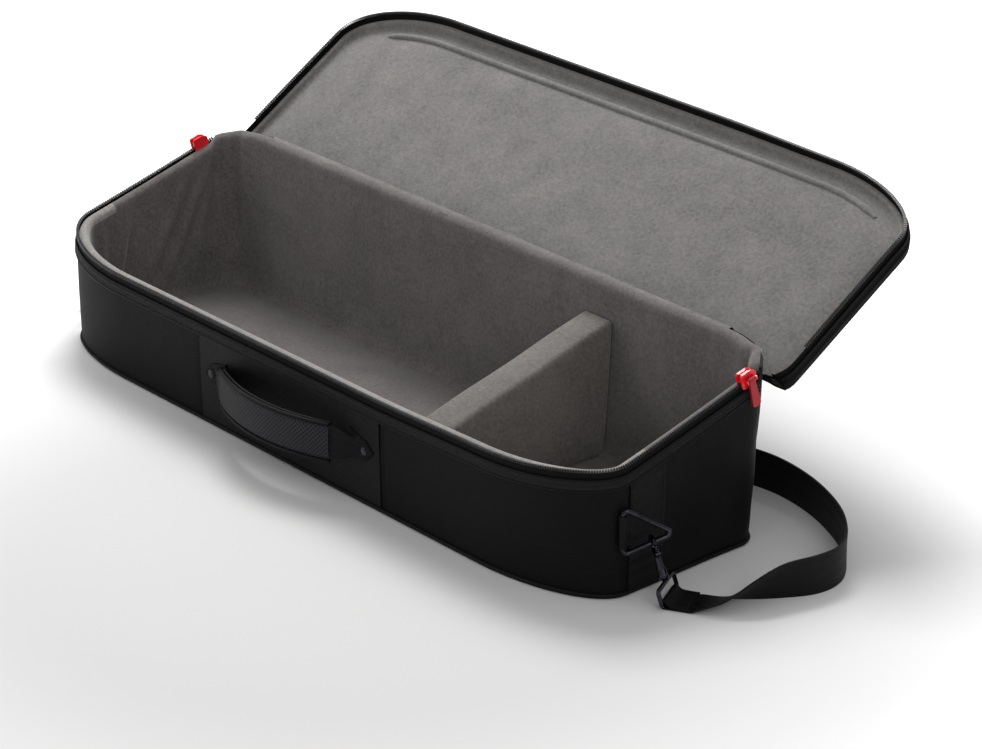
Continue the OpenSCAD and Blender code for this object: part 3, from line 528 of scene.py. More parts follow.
def makeRowTree(name, kind):
    tree = bpy.data.node_groups.new(name, "GeometryNodeTree")
    tree.interface.new_socket("Geometry", in_out="INPUT", socket_type="NodeSocketGeometry")
    for label in ("Pitch", "Length", "Width", "Height"):
        tree.interface.new_socket(label, in_out="INPUT", socket_type="NodeSocketFloat")
    tree.interface.new_socket("Material", in_out="INPUT", socket_type="NodeSocketMaterial")
    tree.interface.new_socket("Geometry", in_out="OUTPUT", socket_type="NodeSocketGeometry")
    start = addNode(tree, "NodeGroupInput")
    spaced = addNode(tree, "GeometryNodeResampleCurve", {"Curve": start.outputs["Geometry"],
                                                         "Length": start.outputs["Pitch"]}, mode="LENGTH")
    along = addNode(tree, "GeometryNodeInputTangent")
    turn = addNode(tree, "FunctionNodeAlignRotationToVector", {"Vector": along.outputs[0]}, axis="X")
    size = addNode(tree, "ShaderNodeCombineXYZ", {"X": start.outputs["Length"], "Y": start.outputs["Width"],
                                                  "Z": start.outputs["Height"]})
    if kind == "tooth":
        shape = addNode(tree, "GeometryNodeMeshCube", {"Size": (1.0, 1.0, 1.0)})
        shape = addNode(tree, "GeometryNodeSubdivideMesh", {"Mesh": shape.outputs["Mesh"], "Level": 1})
        shape = addNode(tree, "GeometryNodeSubdivisionSurface", {"Mesh": shape.outputs["Mesh"], "Level": 0})
    else:
        shape = addNode(tree, "GeometryNodeMeshIcoSphere", {"Radius": 0.5, "Subdivisions": 1})
    placed = addNode(tree, "GeometryNodeInstanceOnPoints", {
        "Points": spaced.outputs[0], "Instance": shape.outputs["Mesh"],
        "Rotation": turn.outputs[0], "Scale": size.outputs[0]})
    real = addNode(tree, "GeometryNodeRealizeInstances", {"Geometry": placed.outputs[0]})
    painted = addNode(tree, "GeometryNodeSetMaterial", {"Geometry": real.outputs[0],
                                                        "Material": start.outputs["Material"]})
    addNode(tree, "NodeGroupOutput", {"Geometry": painted.outputs[0]})
    return tree


rowTrees = {"stitch": makeRowTree("stitchRow", "stitch"), "tooth": makeRowTree("toothRow", "tooth")}


# lines are lists of points in mm; after is a last change of place, such as opening the lid
def repeatAlong(name, kind, lines, pitch, size, material, body, after=None, hides=()):
    data = bpy.data.curves.new(name + "Line", "CURVE")
    data.dimensions = "3D"
    for line in lines:
        spline = data.splines.new("POLY")
        spline.points.add(len(line) - 1)
        for point, place in zip(spline.points, line):
            point.co = (place[0] * mm, place[1] * mm, place[2] * mm, 1.0)
    holder = bpy.data.objects.new(name + "Line", data)
    bpy.context.scene.collection.objects.link(holder)
    modifier = holder.modifiers.new("rows", "NODES")
    modifier.node_group = rowTrees[kind]
    values = {"Pitch": pitch * mm, "Length": size[0] * mm, "Width": size[1] * mm, "Height": size[2] * mm,
              "Material": material}
    for item in rowTrees[kind].interface.items_tree:
        if item.in_out == "INPUT" and item.name in values:
            modifier[item.identifier] = values[item.name]
    bpy.context.view_layer.update()
    graph = bpy.context.evaluated_depsgraph_get()
    mesh = bpy.data.meshes.new_from_object(holder.evaluated_get(graph))
    mesh.name = name
    bpy.data.objects.remove(holder)
    if not mesh.materials:
        mesh.materials.append(material)
    if after is not None:
        co = np.zeros(len(mesh.vertices) * 3, np.float32)
        mesh.vertices.foreach_get("co", co)
        mesh.vertices.foreach_set("co", (after(co.reshape(-1, 3) / mm) * mm).astype(np.float32).ravel())
        mesh.update()
    return finishPiece(name, mesh, body, hides, sharp=70.0)


# Base shell

shell = {"seamX": 143.0, "seamDeep": 0.9, "cloth": 2.0, "rows": 12}
wholeRun = makeRun(0.0, outlineLength, 6.0, closed=True)
zipRun = makeRun(-zipSpare, rearRightArc + zipSpare, 6.0)


# How far the top of the wall rises above the zip run's top, at the rear where there is no zip
def rearLift(points, amount):
    return amount * ease((points[:, 1] - case["zipEnd"] + 4) / 8)


def endCreases(points):
    x, y, z = points.T
    atEnd = ease((x - 395) / 20) * ease((y + 45) / 30)
    folds = np.sin((y * 0.8 + z * 1.1) / 11.0) * 0.9 + np.sin((y * 1.3 - z * 0.5) / 17.0) * 0.9
    return atEnd * folds * ease(z / 30) * ease((150 - z) / 40)


def shellRow(inset, share):
    level = levels["wallTop"] + rearLift(wholeRun["points"], levels["chainTop"] - levels["wallTop"])
    row = baseRow(wholeRun, inset, level, share, low=3.0)
    seams = np.exp(-((np.abs(row[:, 0]) - shell["seamX"]) / 1.6) ** 2) * (row[:, 1] < -90)
    soft = 0.5 * unevenness(row, 70) + endCreases(row)
    push = -shell["seamDeep"] * seams + soft * 4 * share * (1 - share)
    row[:, :2] += wholeRun["normals"] * push[:, None]
    return row


shares = np.linspace(0, 1, shell["rows"])
surface("baseShell", [shellRow(0.0, t) for t in shares] + [shellRow(shell["cloth"], t) for t in shares[::-1]],
        wholeRun["arc"], shellCloth, "shell_nylon", "case", closedRun=True, capEnds="none",
        hides=["outer_wall"])

bottomRing = baseRow(wholeRun, 0.5, 0.0, 0.0)
bottomShares = [0, 0.03, 0.2, 0.5, 0.9]
bottomLow = pillowRows(bottomRing, lambda x, y, t: 0 * x + 0.0, bottomShares)
bottomHigh = pillowRows(bottomRing, lambda x, y, t: 0 * x + 3.0, bottomShares)
surface("bottomPanel", bottomLow[::-1] + bottomHigh, wholeRun["arc"], bottomCloth, "bottom_nylon", "case",
        closedRun=True, closedRows=False, capEnds="rows", hides=["bottom_panel", "floor_board"])
piping("bottomPiping", baseRow(wholeRun, -0.6, 0, 0, low=3.6), 1.7, binding, "binding", "case", closed=True,
       hides=["bottom_piping"])

# Mesh panel behind the handle, between the two front seams
panel = {"half": 141.5, "proud": 1.0, "rows": 10}
panelRun = makeRun(arcOf(-panel["half"], -halfDepth), arcOf(panel["half"], -halfDepth), 6.0)


def panelRow(inset, share):
    row = baseRow(panelRun, inset, levels["bandLow"] - 0.6, share, low=6.0)
    row[:, 1] -= 0.35 * unevenness(row, 55, 2.0) * 4 * share * (1 - share)
    return row


panelShares = np.linspace(0, 1, panel["rows"])
surface("frontPanel", [panelRow(-panel["proud"], t) for t in panelShares]
        + [panelRow(-0.1, t) for t in panelShares[::-1]],
        panelRun["arc"], panelMesh, "panel_nylon", "case", hides=["front_panel"])


# Ribbed band below the zip: two ridges with a groove between, and a piping along its lower edge
bandProfile = [(0.3, 0.0), (-0.6, 0.02), (-1.5, 0.16), (-1.5, 0.36), (-0.7, 0.5), (-1.5, 0.64), (-1.5, 0.86),
               (-0.4, 1.0), (0.3, 1.0)]
bandHeight = levels["wallTop"] - levels["bandLow"]
surface("rimBand", [baseRow(zipRun, inset, levels["bandLow"] + bandHeight * t) for inset, t in bandProfile],
        zipRun["arc"], bandWebbing, "rim_webbing", "case", hides=["rim_band"])
piping("rimPiping", baseRow(zipRun, -0.7, levels["bandLow"] - 0.4), 1.3, binding, "binding", "case")
piping("rimEdge", baseRow(zipRun, -0.2, levels["wallTop"] + 0.3), 1.0, binding, "binding", "case")
surface("baseZipTape", [baseRow(zipRun, inset, level) for inset, level in
        ((1.0, levels["wallTop"]), (0.9, -7.6), (1.1, levels["tapeTop"] - 0.2),
         (2.0, levels["tapeTop"] - 0.2),
         (2.0, -7.6), (2.2, levels["wallTop"]))],
        zipRun["arc"], tapeCloth, "zip_tape", "case", hides=["base_zip_tape"])
zipTeeth = {"pitch": 2.5, "size": (1.5, 3.0, 2.4)}
repeatAlong("baseZipTeeth", "tooth", [baseRow(zipRun, 1.5, (levels["tapeTop"] + levels["chainTop"]) / 2)],
            zipTeeth["pitch"], zipTeeth["size"], teethNylon, "case", hides=["base_zip_teeth"])
print("base shell and zip made")


# Base lining: padded walls, their rounded top and the floor

lining = {"corner": 12.0, "fold": 4.2, "seam": 4.5, "floorCrown": 1.5,
          # y at the height 70, slant, width and depth of each crease in the left end
          "creases": [(6, 0.55, 5.5, 1.0), (34, 0.5, 4.5, 0.7), (-40, 0.25, 5.0, 0.9), (-62, 0.1, 4.0, 0.8),
                      (62, 0.2, 5.0, 0.5)]}
capProfile = [(2.5, -10.9), (2.8, -7.6), (4.0, -5.4), (6.4, -4.6), (9.2, -4.8), (11.6, -6.2), (13.0, -8.4),
              (13.5, -12.2)]
liningRun = makeRun(0.0, outlineLength, 3.6, closed=True)


# Soft diagonal folds in the lining of the left end, as in the photograph
def liningFolds(points):
    x, y, z = points.T
    atLeft = ease((-x - 300) / 80) * ease((150 - np.abs(y)) / 60)
    total = 0 * y
    for foot, tilt, wide, deep in lining["creases"]:
        across = (y - foot) * 0.9 - (z - 70) * tilt
        total += deep * (np.exp(-(across / wide) ** 2) - np.exp(-((across - 1.9 * wide) / wide) ** 2))
    return atLeft * total


def liningRow(inset, level, share=1.0, low=0.0):
    lifted = level + rearLift(liningRun["points"], levels["chainTop"] + 8.0)
    row = baseRow(liningRun, inset, lifted, share, low)
    spotsX, spotsY = liningRun["points"].T
    cornerSeam = np.exp(-((np.abs(spotsX) - 395) / 7) ** 2) * (spotsY > 70)
    push = 0.7 * unevenness(row, 48, 3.0) + lining["fold"] * liningFolds(row)
    push = push * np.clip(4 * share * (1 - share), 0, 1)
    push = push - lining["seam"] * cornerSeam * ease((share - 0.1) / 0.3)
    row[:, :2] -= liningRun["normals"] * push[:, None]
    return row


liningRows = [liningRow(inset, level) for inset, level in capProfile]
for t in np.linspace(0.96, 0.12, 22):
    liningRows.append(liningRow(insideInset + 1.2 * math.sin(math.pi * t), -13.0, t, floorTop))
for angle in np.linspace(0, 90, 6)[1:]:
    turn = math.radians(angle)
    liningRows.append(liningRow(insideInset + lining["corner"] * (1 - math.cos(turn)), -13.0,
                                0.1 * (1 - math.sin(turn)), floorTop))
floorRing = liningRows[-1]
liningRows += pillowRows(floorRing, lambda x, y, t: floorTop + lining["floorCrown"] * np.sin(t * 1.5)
                         + 0.4 * unevenness(np.column_stack([x, y, 0 * x]), 60, 4.0) * t,
                         [0.08, 0.2, 0.4, 0.6, 0.8, 0.92])
backRows = [baseRow(liningRun, 2.5, -11.5, t, 4.0) for t in (1.0, 0.6, 0.02)]
backRows += pillowRows(backRows[-1], lambda x, y, t: 0 * x + 5.0, [0.1, 0.5, 0.92])
# The front wall's flat top is painted lighter than the rest of the lining: painted light, as on a face turned
# up to the lamps
capStart = len(backRows)
paintedLightSlots = []
for j in range(len(backRows) + len(liningRows) - 1):
    onCap = capStart <= j < capStart + len(capProfile) - 1
    paintedLightSlots += [1 if onCap and y < -40 else 0 for y in liningRun["points"][:, 1]]
baseLining = surface("baseLining", backRows[::-1] + liningRows, liningRun["arc"], basePlush, "base_plush",
                     "case",
                     closedRun=True, closedRows=False, capEnds="rows", sharp=50.0,
                     materials=[basePlush, paintedLightCapPlush], faceSlots=paintedLightSlots + [0, 0],
                     hides=["base_lining", "floor_pad", "front_wall_pad", "rear_wall_pad", "left_end_pad",
                            "right_end_pad"])

# Bound piping along the fold, with a join left of the middle, and the stitch line below it
foldLine = {"halfRun": 352.0, "joinX": -55.0, "radius": 2.1}
foldRun = makeRun(arcOf(foldLine["halfRun"], halfDepth), arcOf(-foldLine["halfRun"], halfDepth), 6.0)
foldPoints = baseRow(foldRun, 8.0, levels["chainTop"] + 1.2)
foldRadius = foldLine["radius"] * (1 + 0.16 * np.exp(-((foldPoints[:, 0] - foldLine["joinX"]) / 5) ** 2))
foldRadius = foldRadius * ease((foldLine["halfRun"] + 4 - np.abs(foldPoints[:, 0])) / 40)
piping("foldPiping", foldPoints, np.maximum(foldRadius, 0.3), lidPlush, "lid_plush", "case",
       hides=["fold_piping"])
piping("foldJoin", foldPoints[np.abs(foldPoints[:, 0] - foldLine["joinX"]) < 9], 2.6, basePlush, "base_plush",
       "case")
print("base lining made")


# Lid

lidShape = {"crown": 1.2, "padCrown": 3.5, "endX": 398.0, "endSpare": 0.8}
leftCut = arcOf(-lidShape["endX"], case["cutY"] + lidShape["endSpare"])
lidRun = makeRun(leftCut - outlineLength, arcOf(lidShape["endX"], case["cutY"] + lidShape["endSpare"]), 6.0)


# The lid's whole ring: the zip run and the straight rear edge just in front of the fold
def makeLidRing():
    front = lidRun["points"]
    count = int(round((front[-1, 0] - front[0, 0]) / 8.0))
    x = np.linspace(front[-1, 0], front[0, 0], count + 1)[1:-1]
    rear = np.column_stack([x, np.full(len(x), front[-1, 1])])
    normals = np.vstack([lidRun["normals"], np.tile([0.0, 0.0], (len(rear), 1))])
    for end, sign in ((len(front) - 1, 1), (0, -1)):
        normals[end] = np.array([sign * 0.8, 0.0])
    points = np.vstack([front, rear])
    inward = case["frontCorner"][0] / 6
    rearShare = np.concatenate([np.zeros(len(front)), ease((front[-1, 0] - np.abs(x)) / inward)])
    arcs = np.concatenate([lidRun["arc"], lidRun["arc"][-1] + 8.0 * np.arange(1, len(rear) + 1)])
    return {"points": points, "normals": normals, "arc": arcs, "closed": True, "rear": rearShare}


lidRing = makeLidRing()


def lidPillow(inset, level, crown, sharesUsed):
    ring = lidRow(lidRing, inset, level)

    def heightAt(x, y, t):
        crowned = level + crown * np.sin(np.clip(t * 3, 0, 1) * 1.57)
        return rimHeight(x, y, crowned, 0.0) - (1 - t) * (1 - level / case["lidHeight"]) * sagAt(x, y)

    return pillowRows(ring, heightAt, sharesUsed)


outerProfile = [(0.1, 10.1), (-0.1, 13.0), (-0.1, 16.2), (-0.9, 17.0), (-0.9, 18.0), (-0.1, 18.8),
                (0.0, 21.0),
                (0.7, 23.6), (2.4, 25.4), (5.0, 26.0)]
innerProfile = [(2.0, 10.1), (2.0, 16.0), (2.0, 21.0), (3.6, 23.6), (6.0, 24.2)]
lidShares = [0.04, 0.1, 0.2, 0.35, 0.55, 0.75, 0.92]
lidRows = lidPillow(6.0, 24.2, 0.3, lidShares)[::-1]
lidRows += [lidRow(lidRing, inset, level) for inset, level in innerProfile[::-1]]
lidRows += [lidRow(lidRing, inset, level) for inset, level in outerProfile]
lidRows += lidPillow(5.0, 26.0, lidShape["crown"], lidShares)
lidRows = [openLid(row) for row in lidRows]
surface("lidShell", lidRows, lidRing["arc"], shellCloth, "shell_nylon", "lid", closedRun=True,
        closedRows=False,
        capEnds="rows", hides=["lid_cover", "lid_rim_wall"], sharp=55.0)

lidTapeRun = makeRun(leftCut - outlineLength + 6, lidRun["arc"][-1] - 6, 6.0)
surface("lidZipTape", [openLid(lidRow(lidTapeRun, inset, level)) for inset, level in
        ((1.0, lidLevels["wallLow"]), (0.9, 7.0), (1.1, lidLevels["tapeLow"] + 0.2),
         (2.0, lidLevels["tapeLow"] + 0.2),
         (2.0, 7.0), (2.2, lidLevels["wallLow"]))],
        lidTapeRun["arc"], tapeCloth, "zip_tape", "lid", hides=["lid_zip_tape"])
chainTrim = 18.5                               # the lid's teeth stop in front of the slider
lidChainRun = makeRun(chainTrim, rearRightArc - chainTrim, 6.0)
repeatAlong("lidZipTeeth", "tooth", [lidRow(lidChainRun, 1.5,
                                            (lidLevels["chainLow"] + lidLevels["tapeLow"]) / 2)],
            zipTeeth["pitch"], zipTeeth["size"], teethNylon, "lid", after=openLid,
            hides=["lid_zip_teeth"])
piping("lidEdge", openLid(lidRow(lidRun, -0.2, lidLevels["wallLow"] + 0.2)), 1.0, binding, "binding", "lid")

# Padded lining: a rim band that turns over the lid's edge, then the crowned panel
padProfile = [(2.3, 11.4), (2.6, 10.2), (4.6, 9.6), (6.6, 10.0), (7.5, 11.6), (7.8, 14.4), (9.4, 16.0),
              (12.0, 16.5)]
padBack = [(2.3, 23.2), (2.3, 17.0)]
padRows = lidPillow(4.0, 23.4, 0.0, lidShares)[::-1]
padRows += [lidRow(lidRing, inset, level) for inset, level in padBack + padProfile]
padRows += lidPillow(13.0, 16.4, -lidShape["padCrown"], [0.0, 0.03, 0.07, 0.13, 0.22, 0.35, 0.5, 0.7, 0.92])
for index, row in enumerate(padRows):
    if index > len(lidShares) + len(padBack) + 3:
        row[:, 2] += 0.5 * unevenness(row, 65, 5.0)
lidPad = surface("lidLining", [openLid(row) for row in padRows], lidRing["arc"], lidPlush, "lid_plush", "lid",
                 closedRun=True, closedRows=False, capEnds="rows", sharp=60.0,
                 hides=["lid_lining", "lid_pad", "lid_rim_pad"])

# Padded roll along the lid's free edge, puckered at its right end
roll = {"inset": 22.0, "radius": 3.6, "halfRun": 372.0, "pucker": 0.10}
rollRun = makeRun(arcOf(-roll["halfRun"], -110.0), arcOf(roll["halfRun"], -110.0), 5.0)
rollPoints = lidRow(rollRun, roll["inset"], 14.6)
rollTurn = ease((rollPoints[:, 0] - 250) / 120)
rollRadius = roll["radius"] * (1 + roll["pucker"] * rollTurn * np.sin(rollPoints[:, 0] / 3.2))
rollRadius = rollRadius * np.clip(np.minimum(rollRun["arc"] - rollRun["arc"][0],
                                             rollRun["arc"][-1] - rollRun["arc"]) / 20 + 0.4, 0, 1)
piping("lidRoll", openLid(rollPoints), rollRadius, lidPlush, "lid_plush", "lid", hides=["lid_roll"],
                 sides=12)
print("lid made")

# Fold: the lining and the cloth that join the lid to the rear wall

hinge = {"halfWidth": 348.0, "cloth": 0.9}


def makeHinge():
    xs = np.linspace(-hinge["halfWidth"], hinge["halfWidth"], 90)
    cutY = case["cutY"] - lidLevels["lining"] * math.sin(slope) - 1.5
    cutEdge = np.column_stack([xs, np.full(len(xs), cutY), rimHeight(xs, cutY + 0 * xs, lidLevels["lining"],
                                                                     0.0)])
    lidEdge = openLid(cutEdge)[0]
    topZ = rimHeight(0.0, halfDepth, levels["chainTop"], 0.0)
    path = np.array([(halfDepth - 8.0, topZ - 1.4), (halfDepth - 4.0, topZ + 0.4),
                     (halfDepth - 0.5, topZ + 1.2), (halfDepth + 1.6, topZ - 0.6),
                     (halfDepth + 2.0, topZ - 4.0),
                     (lidEdge[1] + 0.6, lidEdge[2] + 6),
                     (lidEdge[1] + 0.2, lidEdge[2])])
    along = np.gradient(path, axis=0)
    along /= np.linalg.norm(along, axis=1)[:, None]
    outward = np.column_stack([-along[:, 1], along[:, 0]])
    rows = []
    for side in (0.0, hinge["cloth"]):
        shifted = path + outward * side
        part = [np.column_stack([xs, np.full(len(xs), y) + 0.2 * np.sin(xs / 23.0), np.full(len(xs), z)])
                for y, z in shifted]
        rows += part if side == 0.0 else part[::-1]
    slots = []                                 # lining over the wall's top, shell cloth behind it
    for j in range(len(rows)):
        slots += [1 if j > 2 * len(path) - 5 else 0] * (len(xs) - 1)
    made = surface("hingeCloth", rows, list(xs), shellCloth, "shell_nylon", None, hides=["hinge_fabric"],
                   materials=[shellCloth, lidPlush], faceSlots=slots + [0, 0])
    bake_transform(made)


makeHinge()
print("fold made")


# Divider

divider = {"drop": 28.0, "round": 4.5, "crown": 2.2, "stripSpare": 14.0}


# The padded wall leans in towards its foot, and the divider's ends follow it
def dividerLean(y, share):
    return leanAt(y) * (1 - share) ** 1.4 * y / 110


def makeDivider():
    low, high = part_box("divider_cover")
    lowX, highX, lowY, highY, lowZ = low.x / mm, high.x / mm, low.y / mm, high.y / mm, low.z / mm
    half = ((highX - lowX) / 2, (highY - lowY) / 2, 50.0)

    def place(x, y, z):
        u, v, share = x / half[0], y / half[1], (z / half[2] + 1) / 2
        px, py = (lowX + highX) / 2 + x, (lowY + highY) / 2 + y
        top = case["frontHeight"] + (py + halfDepth) * math.tan(slope) - divider["drop"] / math.cos(slope)
        pz = lowZ + (top - lowZ) * share
        px += divider["crown"] * u * (1 - v * v) * (1 - (2 * share - 1) ** 2)
        px += 0.7 * math.sin(py / 19.0 + 1.0) * share
        pz += divider["crown"] * (1 - v * v) * (1 - u * u) * ease((share - 0.9) / 0.1)
        return px, py - dividerLean(py, share), pz

    made = roundedBlock("dividerPad", half, divider["round"], place, dividerPlush, "divider",
                        ["divider_cover", "divider_core"], cuts=9)


def makeGripStrips():
    low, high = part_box("divider_grip_strips")
    levelsUp = np.linspace(low.z, high.z, 12) / mm
    foot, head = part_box("divider_cover")[0].z / mm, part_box("divider_cover")[1].z / mm
    for sign, label in ((1, "rear"), (-1, "front")):
        end = high.y / mm if sign > 0 else low.y / mm
        topEdge = (case["frontHeight"] + (end + halfDepth) * math.tan(slope)
                   - divider["drop"] / math.cos(slope))
        z = np.linspace(levelsUp[0], topEdge - divider["stripSpare"], 12)
        share = (z - foot) / (head - foot if sign > 0 else topEdge - foot)
        y = end - 0.6 * sign - dividerLean(end, np.clip(share, 0, 1))
        middle = np.column_stack([np.full(12, (low.x + high.x) / 2 / mm), y, z])
        wide = np.tile([(high.x - low.x) / mm, 0, 0], (12, 1))
        surface("gripStrip_" + label, bandRows(middle, wide, np.tile([0, 1.2, 0], (12, 1))), z, gripTape,
                "grip_tape", "divider", hides=["divider_grip_strips"] if sign > 0 else ())


makeDivider()
makeGripStrips()
print("divider made")


# Handle

handle = {"span": 220.0, "bow": 32.0, "height": 36.0, "thick": 6.0, "level": 58.0, "grip": 170.0,
          "face": 126.0,
          "anchorThick": 1.6, "anchorStart": 97.0, "anchorLength": 36.0}
handleRadius = ((handle["span"] / 2) ** 2 + handle["bow"] ** 2) / (2 * handle["bow"])
handleCentre = handleRadius - handle["face"] - handle["bow"]
gripAngle = math.asin(handle["grip"] / 2 / handleRadius)
endAngle = math.asin(handle["span"] / 2 / handleRadius)


def handlePoint(angle, out, up):
    radius = handleRadius + out
    return (radius * math.sin(angle), handleCentre - radius * math.cos(angle), handle["level"] + up)


def roundedSection(thick, tall, crown, count=7):
    half = [(thick / 2 + crown * (1 - t * t) - (thick / 2) * 0.75 * max(0, abs(t) - 0.86) / 0.14,
             tall / 2 * t)
            for t in np.linspace(-1, 1, count * 2 + 1)]
    return half + [(-out, up) for out, up in half[::-1]]


def handleRows(angles, section, scaleAt=lambda a: 1.0):
    return [np.array([handlePoint(a, out, up * scaleAt(a)) for a in angles]) for out, up in section]


gripAngles = np.linspace(-gripAngle, gripAngle, 60)
gripArcs = gripAngles * handleRadius
grip = surface("handleGrip", handleRows(gripAngles, roundedSection(handle["thick"], handle["height"], 1.2)),
               gripArcs,
               gripMesh, "handle_nylon", "handle", hides=["carry_handle"], sharp=65.0)
edgeLines = []
for up in (handle["height"] / 2 + 1.0, -handle["height"] / 2 - 1.0):
    for out in (-2.0, 2.0):
        edgeLines.append(np.array([handlePoint(a, out, up) for a in gripAngles]))
for index, line in enumerate(edgeLines):
    piping("handlePiping%d" % index, line, 1.5, binding, "binding", "handle",
           hides=["handle_piping"] if index == 0 else ())

for side, label in ((1, "right"), (-1, "left")):
    endAngles = np.linspace(gripAngle - 0.01, endAngle + 0.012, 14)
    narrow = lambda a: 1.0 - 0.42 * ease((abs(a) - gripAngle) / (endAngle - gripAngle))
    rows = handleRows(endAngles, roundedSection(handle["thick"] - 0.6, handle["height"] - 0.5, 0.3), narrow)
    for row in rows:
        row[:, 0] *= side
        row[:, 1] = np.minimum(row[:, 1], -handle["face"] - handle["anchorThick"] - 0.2)
    made = surface("handleEnd_" + label, rows, endAngles * handleRadius, strapWebbing, "handle_nylon", None,
                   hides=["handle_end_" + label])
    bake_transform(made)


# Kite-shaped anchor patches, sewn all round and crossed with stitches
def makeAnchors():
    start, length, half = handle["anchorStart"], handle["anchorLength"], handle["height"] / 2 - 1
    corners = [(start, -half), (start + 0.7 * length, -0.6 * half), (start + length, 0),
               (start + 0.7 * length, 0.6 * half),
               (start, half)]
    stitchLines = []
    for side in (1, -1):
        outer = []
        for i, (x, z) in enumerate(corners):
            nx, nz = corners[(i + 1) % len(corners)]
            for t in np.linspace(0, 1, 7)[:-1]:
                outer.append((side * (x + (nx - x) * t), z + (nz - z) * t))
        centre = np.array([side * (start + 0.42 * length), 0.0])
        outer = np.array(outer)
        rows = []
        for share, y in ((0.0, -handle["face"] + 0.3), (0.0, -handle["face"] - 1.0),
                         (0.04, -handle["face"] - 1.6),
                         (0.2, -handle["face"] - 1.9), (0.6, -handle["face"] - 2.0),
                         (0.9, -handle["face"] - 2.0)):
            flat = outer * (1 - share) + centre * share
            rows.append(np.column_stack([flat[:, 0], np.full(len(flat), y), flat[:, 1] + handle["level"]]))
        surface("handleAnchor_" + ("right" if side > 0 else "left"), rows, arcLengths(rows[0]), strapWebbing,
                "handle_nylon", "case", closedRun=True, closedRows=False, capEnds="rows",
                hides=["handle_anchors"] if side > 0 else ())
        inner = outer * 0.86 + centre * 0.14
        loop = np.column_stack([inner[:, 0], np.full(len(inner), -handle["face"] - 2.0),
                                inner[:, 1] + handle["level"]])
        stitchLines.append(np.vstack([loop, loop[:1]]))
        for sign in (1, -1):
            a = np.array([side * (start + 8), -handle["face"] - 2.1, handle["level"] + sign * half * 0.7])
            b = np.array([side * (start + 0.66 * length), -handle["face"] - 2.1,
                          handle["level"] - sign * half * 0.5])
            stitchLines.append(np.linspace(a, b, 8))
    repeatAlong("anchorStitches", "stitch", stitchLines, 3.4, (2.6, 0.8, 0.8), threadBlack, "case")


makeAnchors()
dress("handle_rivets", rivetSteel)
print("handle made")


# End strips, ring tabs

strip = {"front": -64.0, "thick": 1.5, "foot": 5.5}


# Points across the end wall, from the strip's foot at t = 0 to the rim band at t = 1
def stripRow(side, ys, t, out):
    lean = leanAt(ys) * (1 - t) ** 1.4
    top = rimHeight(np.full(len(ys), float(halfLength)), ys, levels["bandLow"] - 1.2)
    z = strip["foot"] * (1 - t) + top * t
    return np.column_stack([side * (halfLength - lean + out), ys, z])


def makeStrip(side, label):
    low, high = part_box("end_strip_" + label)
    ys = np.linspace(low.y, high.y, 16) / mm
    inner, outer = ([stripRow(side, ys, t, out) for t in np.linspace(0, 1, 14)]
                    for out in (0.15, strip["thick"] + 0.15))
    surface("endStrip_" + label, outer[::-1] + inner, list(ys), strapWebbing, "webbing", "case",
            hides=["end_strip_" + label])
    lines = [[stripRow(side, np.array([y]), t, strip["thick"] + 0.35)[0] for t in np.linspace(0.02, 0.98, 14)]
             for y in (ys[0] + 2.5, ys[-1] - 2.5)]
    repeatAlong("stripStitches_" + label, "stitch", lines, 3.6, (2.7, 0.8, 0.8), threadBlack,
                "case")


# Webbing folded round the ring's leg, sewn to itself beside the strip
def makeTab(side, label):
    low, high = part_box("ring_tab_" + label)
    legX, legY = (high.x if side > 0 else -low.x) / mm - tab["outer"], low.y / mm + tab["outer"]
    radius = tab["outer"] - tab["thick"] / 2 - 0.05
    path = [(halfLength + 0.9, strip["front"] + 3), (halfLength + 0.9, legY + 1)]
    for angle in np.linspace(180, 468, 22):
        path.append((legX + radius * math.cos(math.radians(angle)),
                     legY + radius * math.sin(math.radians(angle))))
    path += [(halfLength + 2.5, strip["front"] - 3), (halfLength + 2.3, strip["front"] + 3)]
    level = (low.z + high.z) / 2 / mm
    points = np.array([(side * x, y, level) for x, y in path])
    along = np.gradient(points, axis=0)
    along /= np.linalg.norm(along, axis=1)[:, None]
    out = np.column_stack([along[:, 1], -along[:, 0], 0 * along[:, 0]]) * tab["thick"]
    wide = np.tile([0, 0, (high.z - low.z) / mm], (len(points), 1))
    surface("ringTab_" + label, bandRows(points, wide, out), arcLengths(points), strapWebbing, "webbing",
            "case",
            hides=["ring_tab_" + label])
    lines = [[(side * (halfLength + 3.1), y, z / mm) for z in np.linspace(low.z + 0.003, high.z - 0.003, 8)]
             for y in (strip["front"] - 1.0, strip["front"] - 4.5)]
    repeatAlong("tabStitches_" + label, "stitch", lines, 3.4, (2.5, 0.7, 0.7), threadBlack, "case")


tab = {"outer": 3.76, "thick": 1.2}
for side, label in ((1, "right"), (-1, "left")):
    makeStrip(side, label)
    makeTab(side, label)
print("end strips made")


# Shoulder strap: flat webbing on edge, twisting down to its sewn ends

strapWidth, strapThick, floorClear = 38.0, 1.8, 0.3
sewnLength, eyeLevel, sewnRadius = 24.0, 4.26, 3.06
headings = {"right": math.radians(30), "left": math.radians(180 - 70)}


# The middle of the eye's lower bar, from the box of the strap's sewn end
def eyeSpot(label):
    low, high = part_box("strap_end_" + label)
    middle = (low + high) / 2 / mm
    shift = (sewnLength - 3.96) / 2
    return (middle.x - shift * math.cos(headings[label]), middle.y - shift * math.sin(headings[label]))


def sewnSpot(label):
    x, y = eyeSpot(label)
    return (x + sewnLength * math.cos(headings[label]), y + sewnLength * math.sin(headings[label]))


rightEnd, leftEnd = sewnSpot("right"), sewnSpot("left")
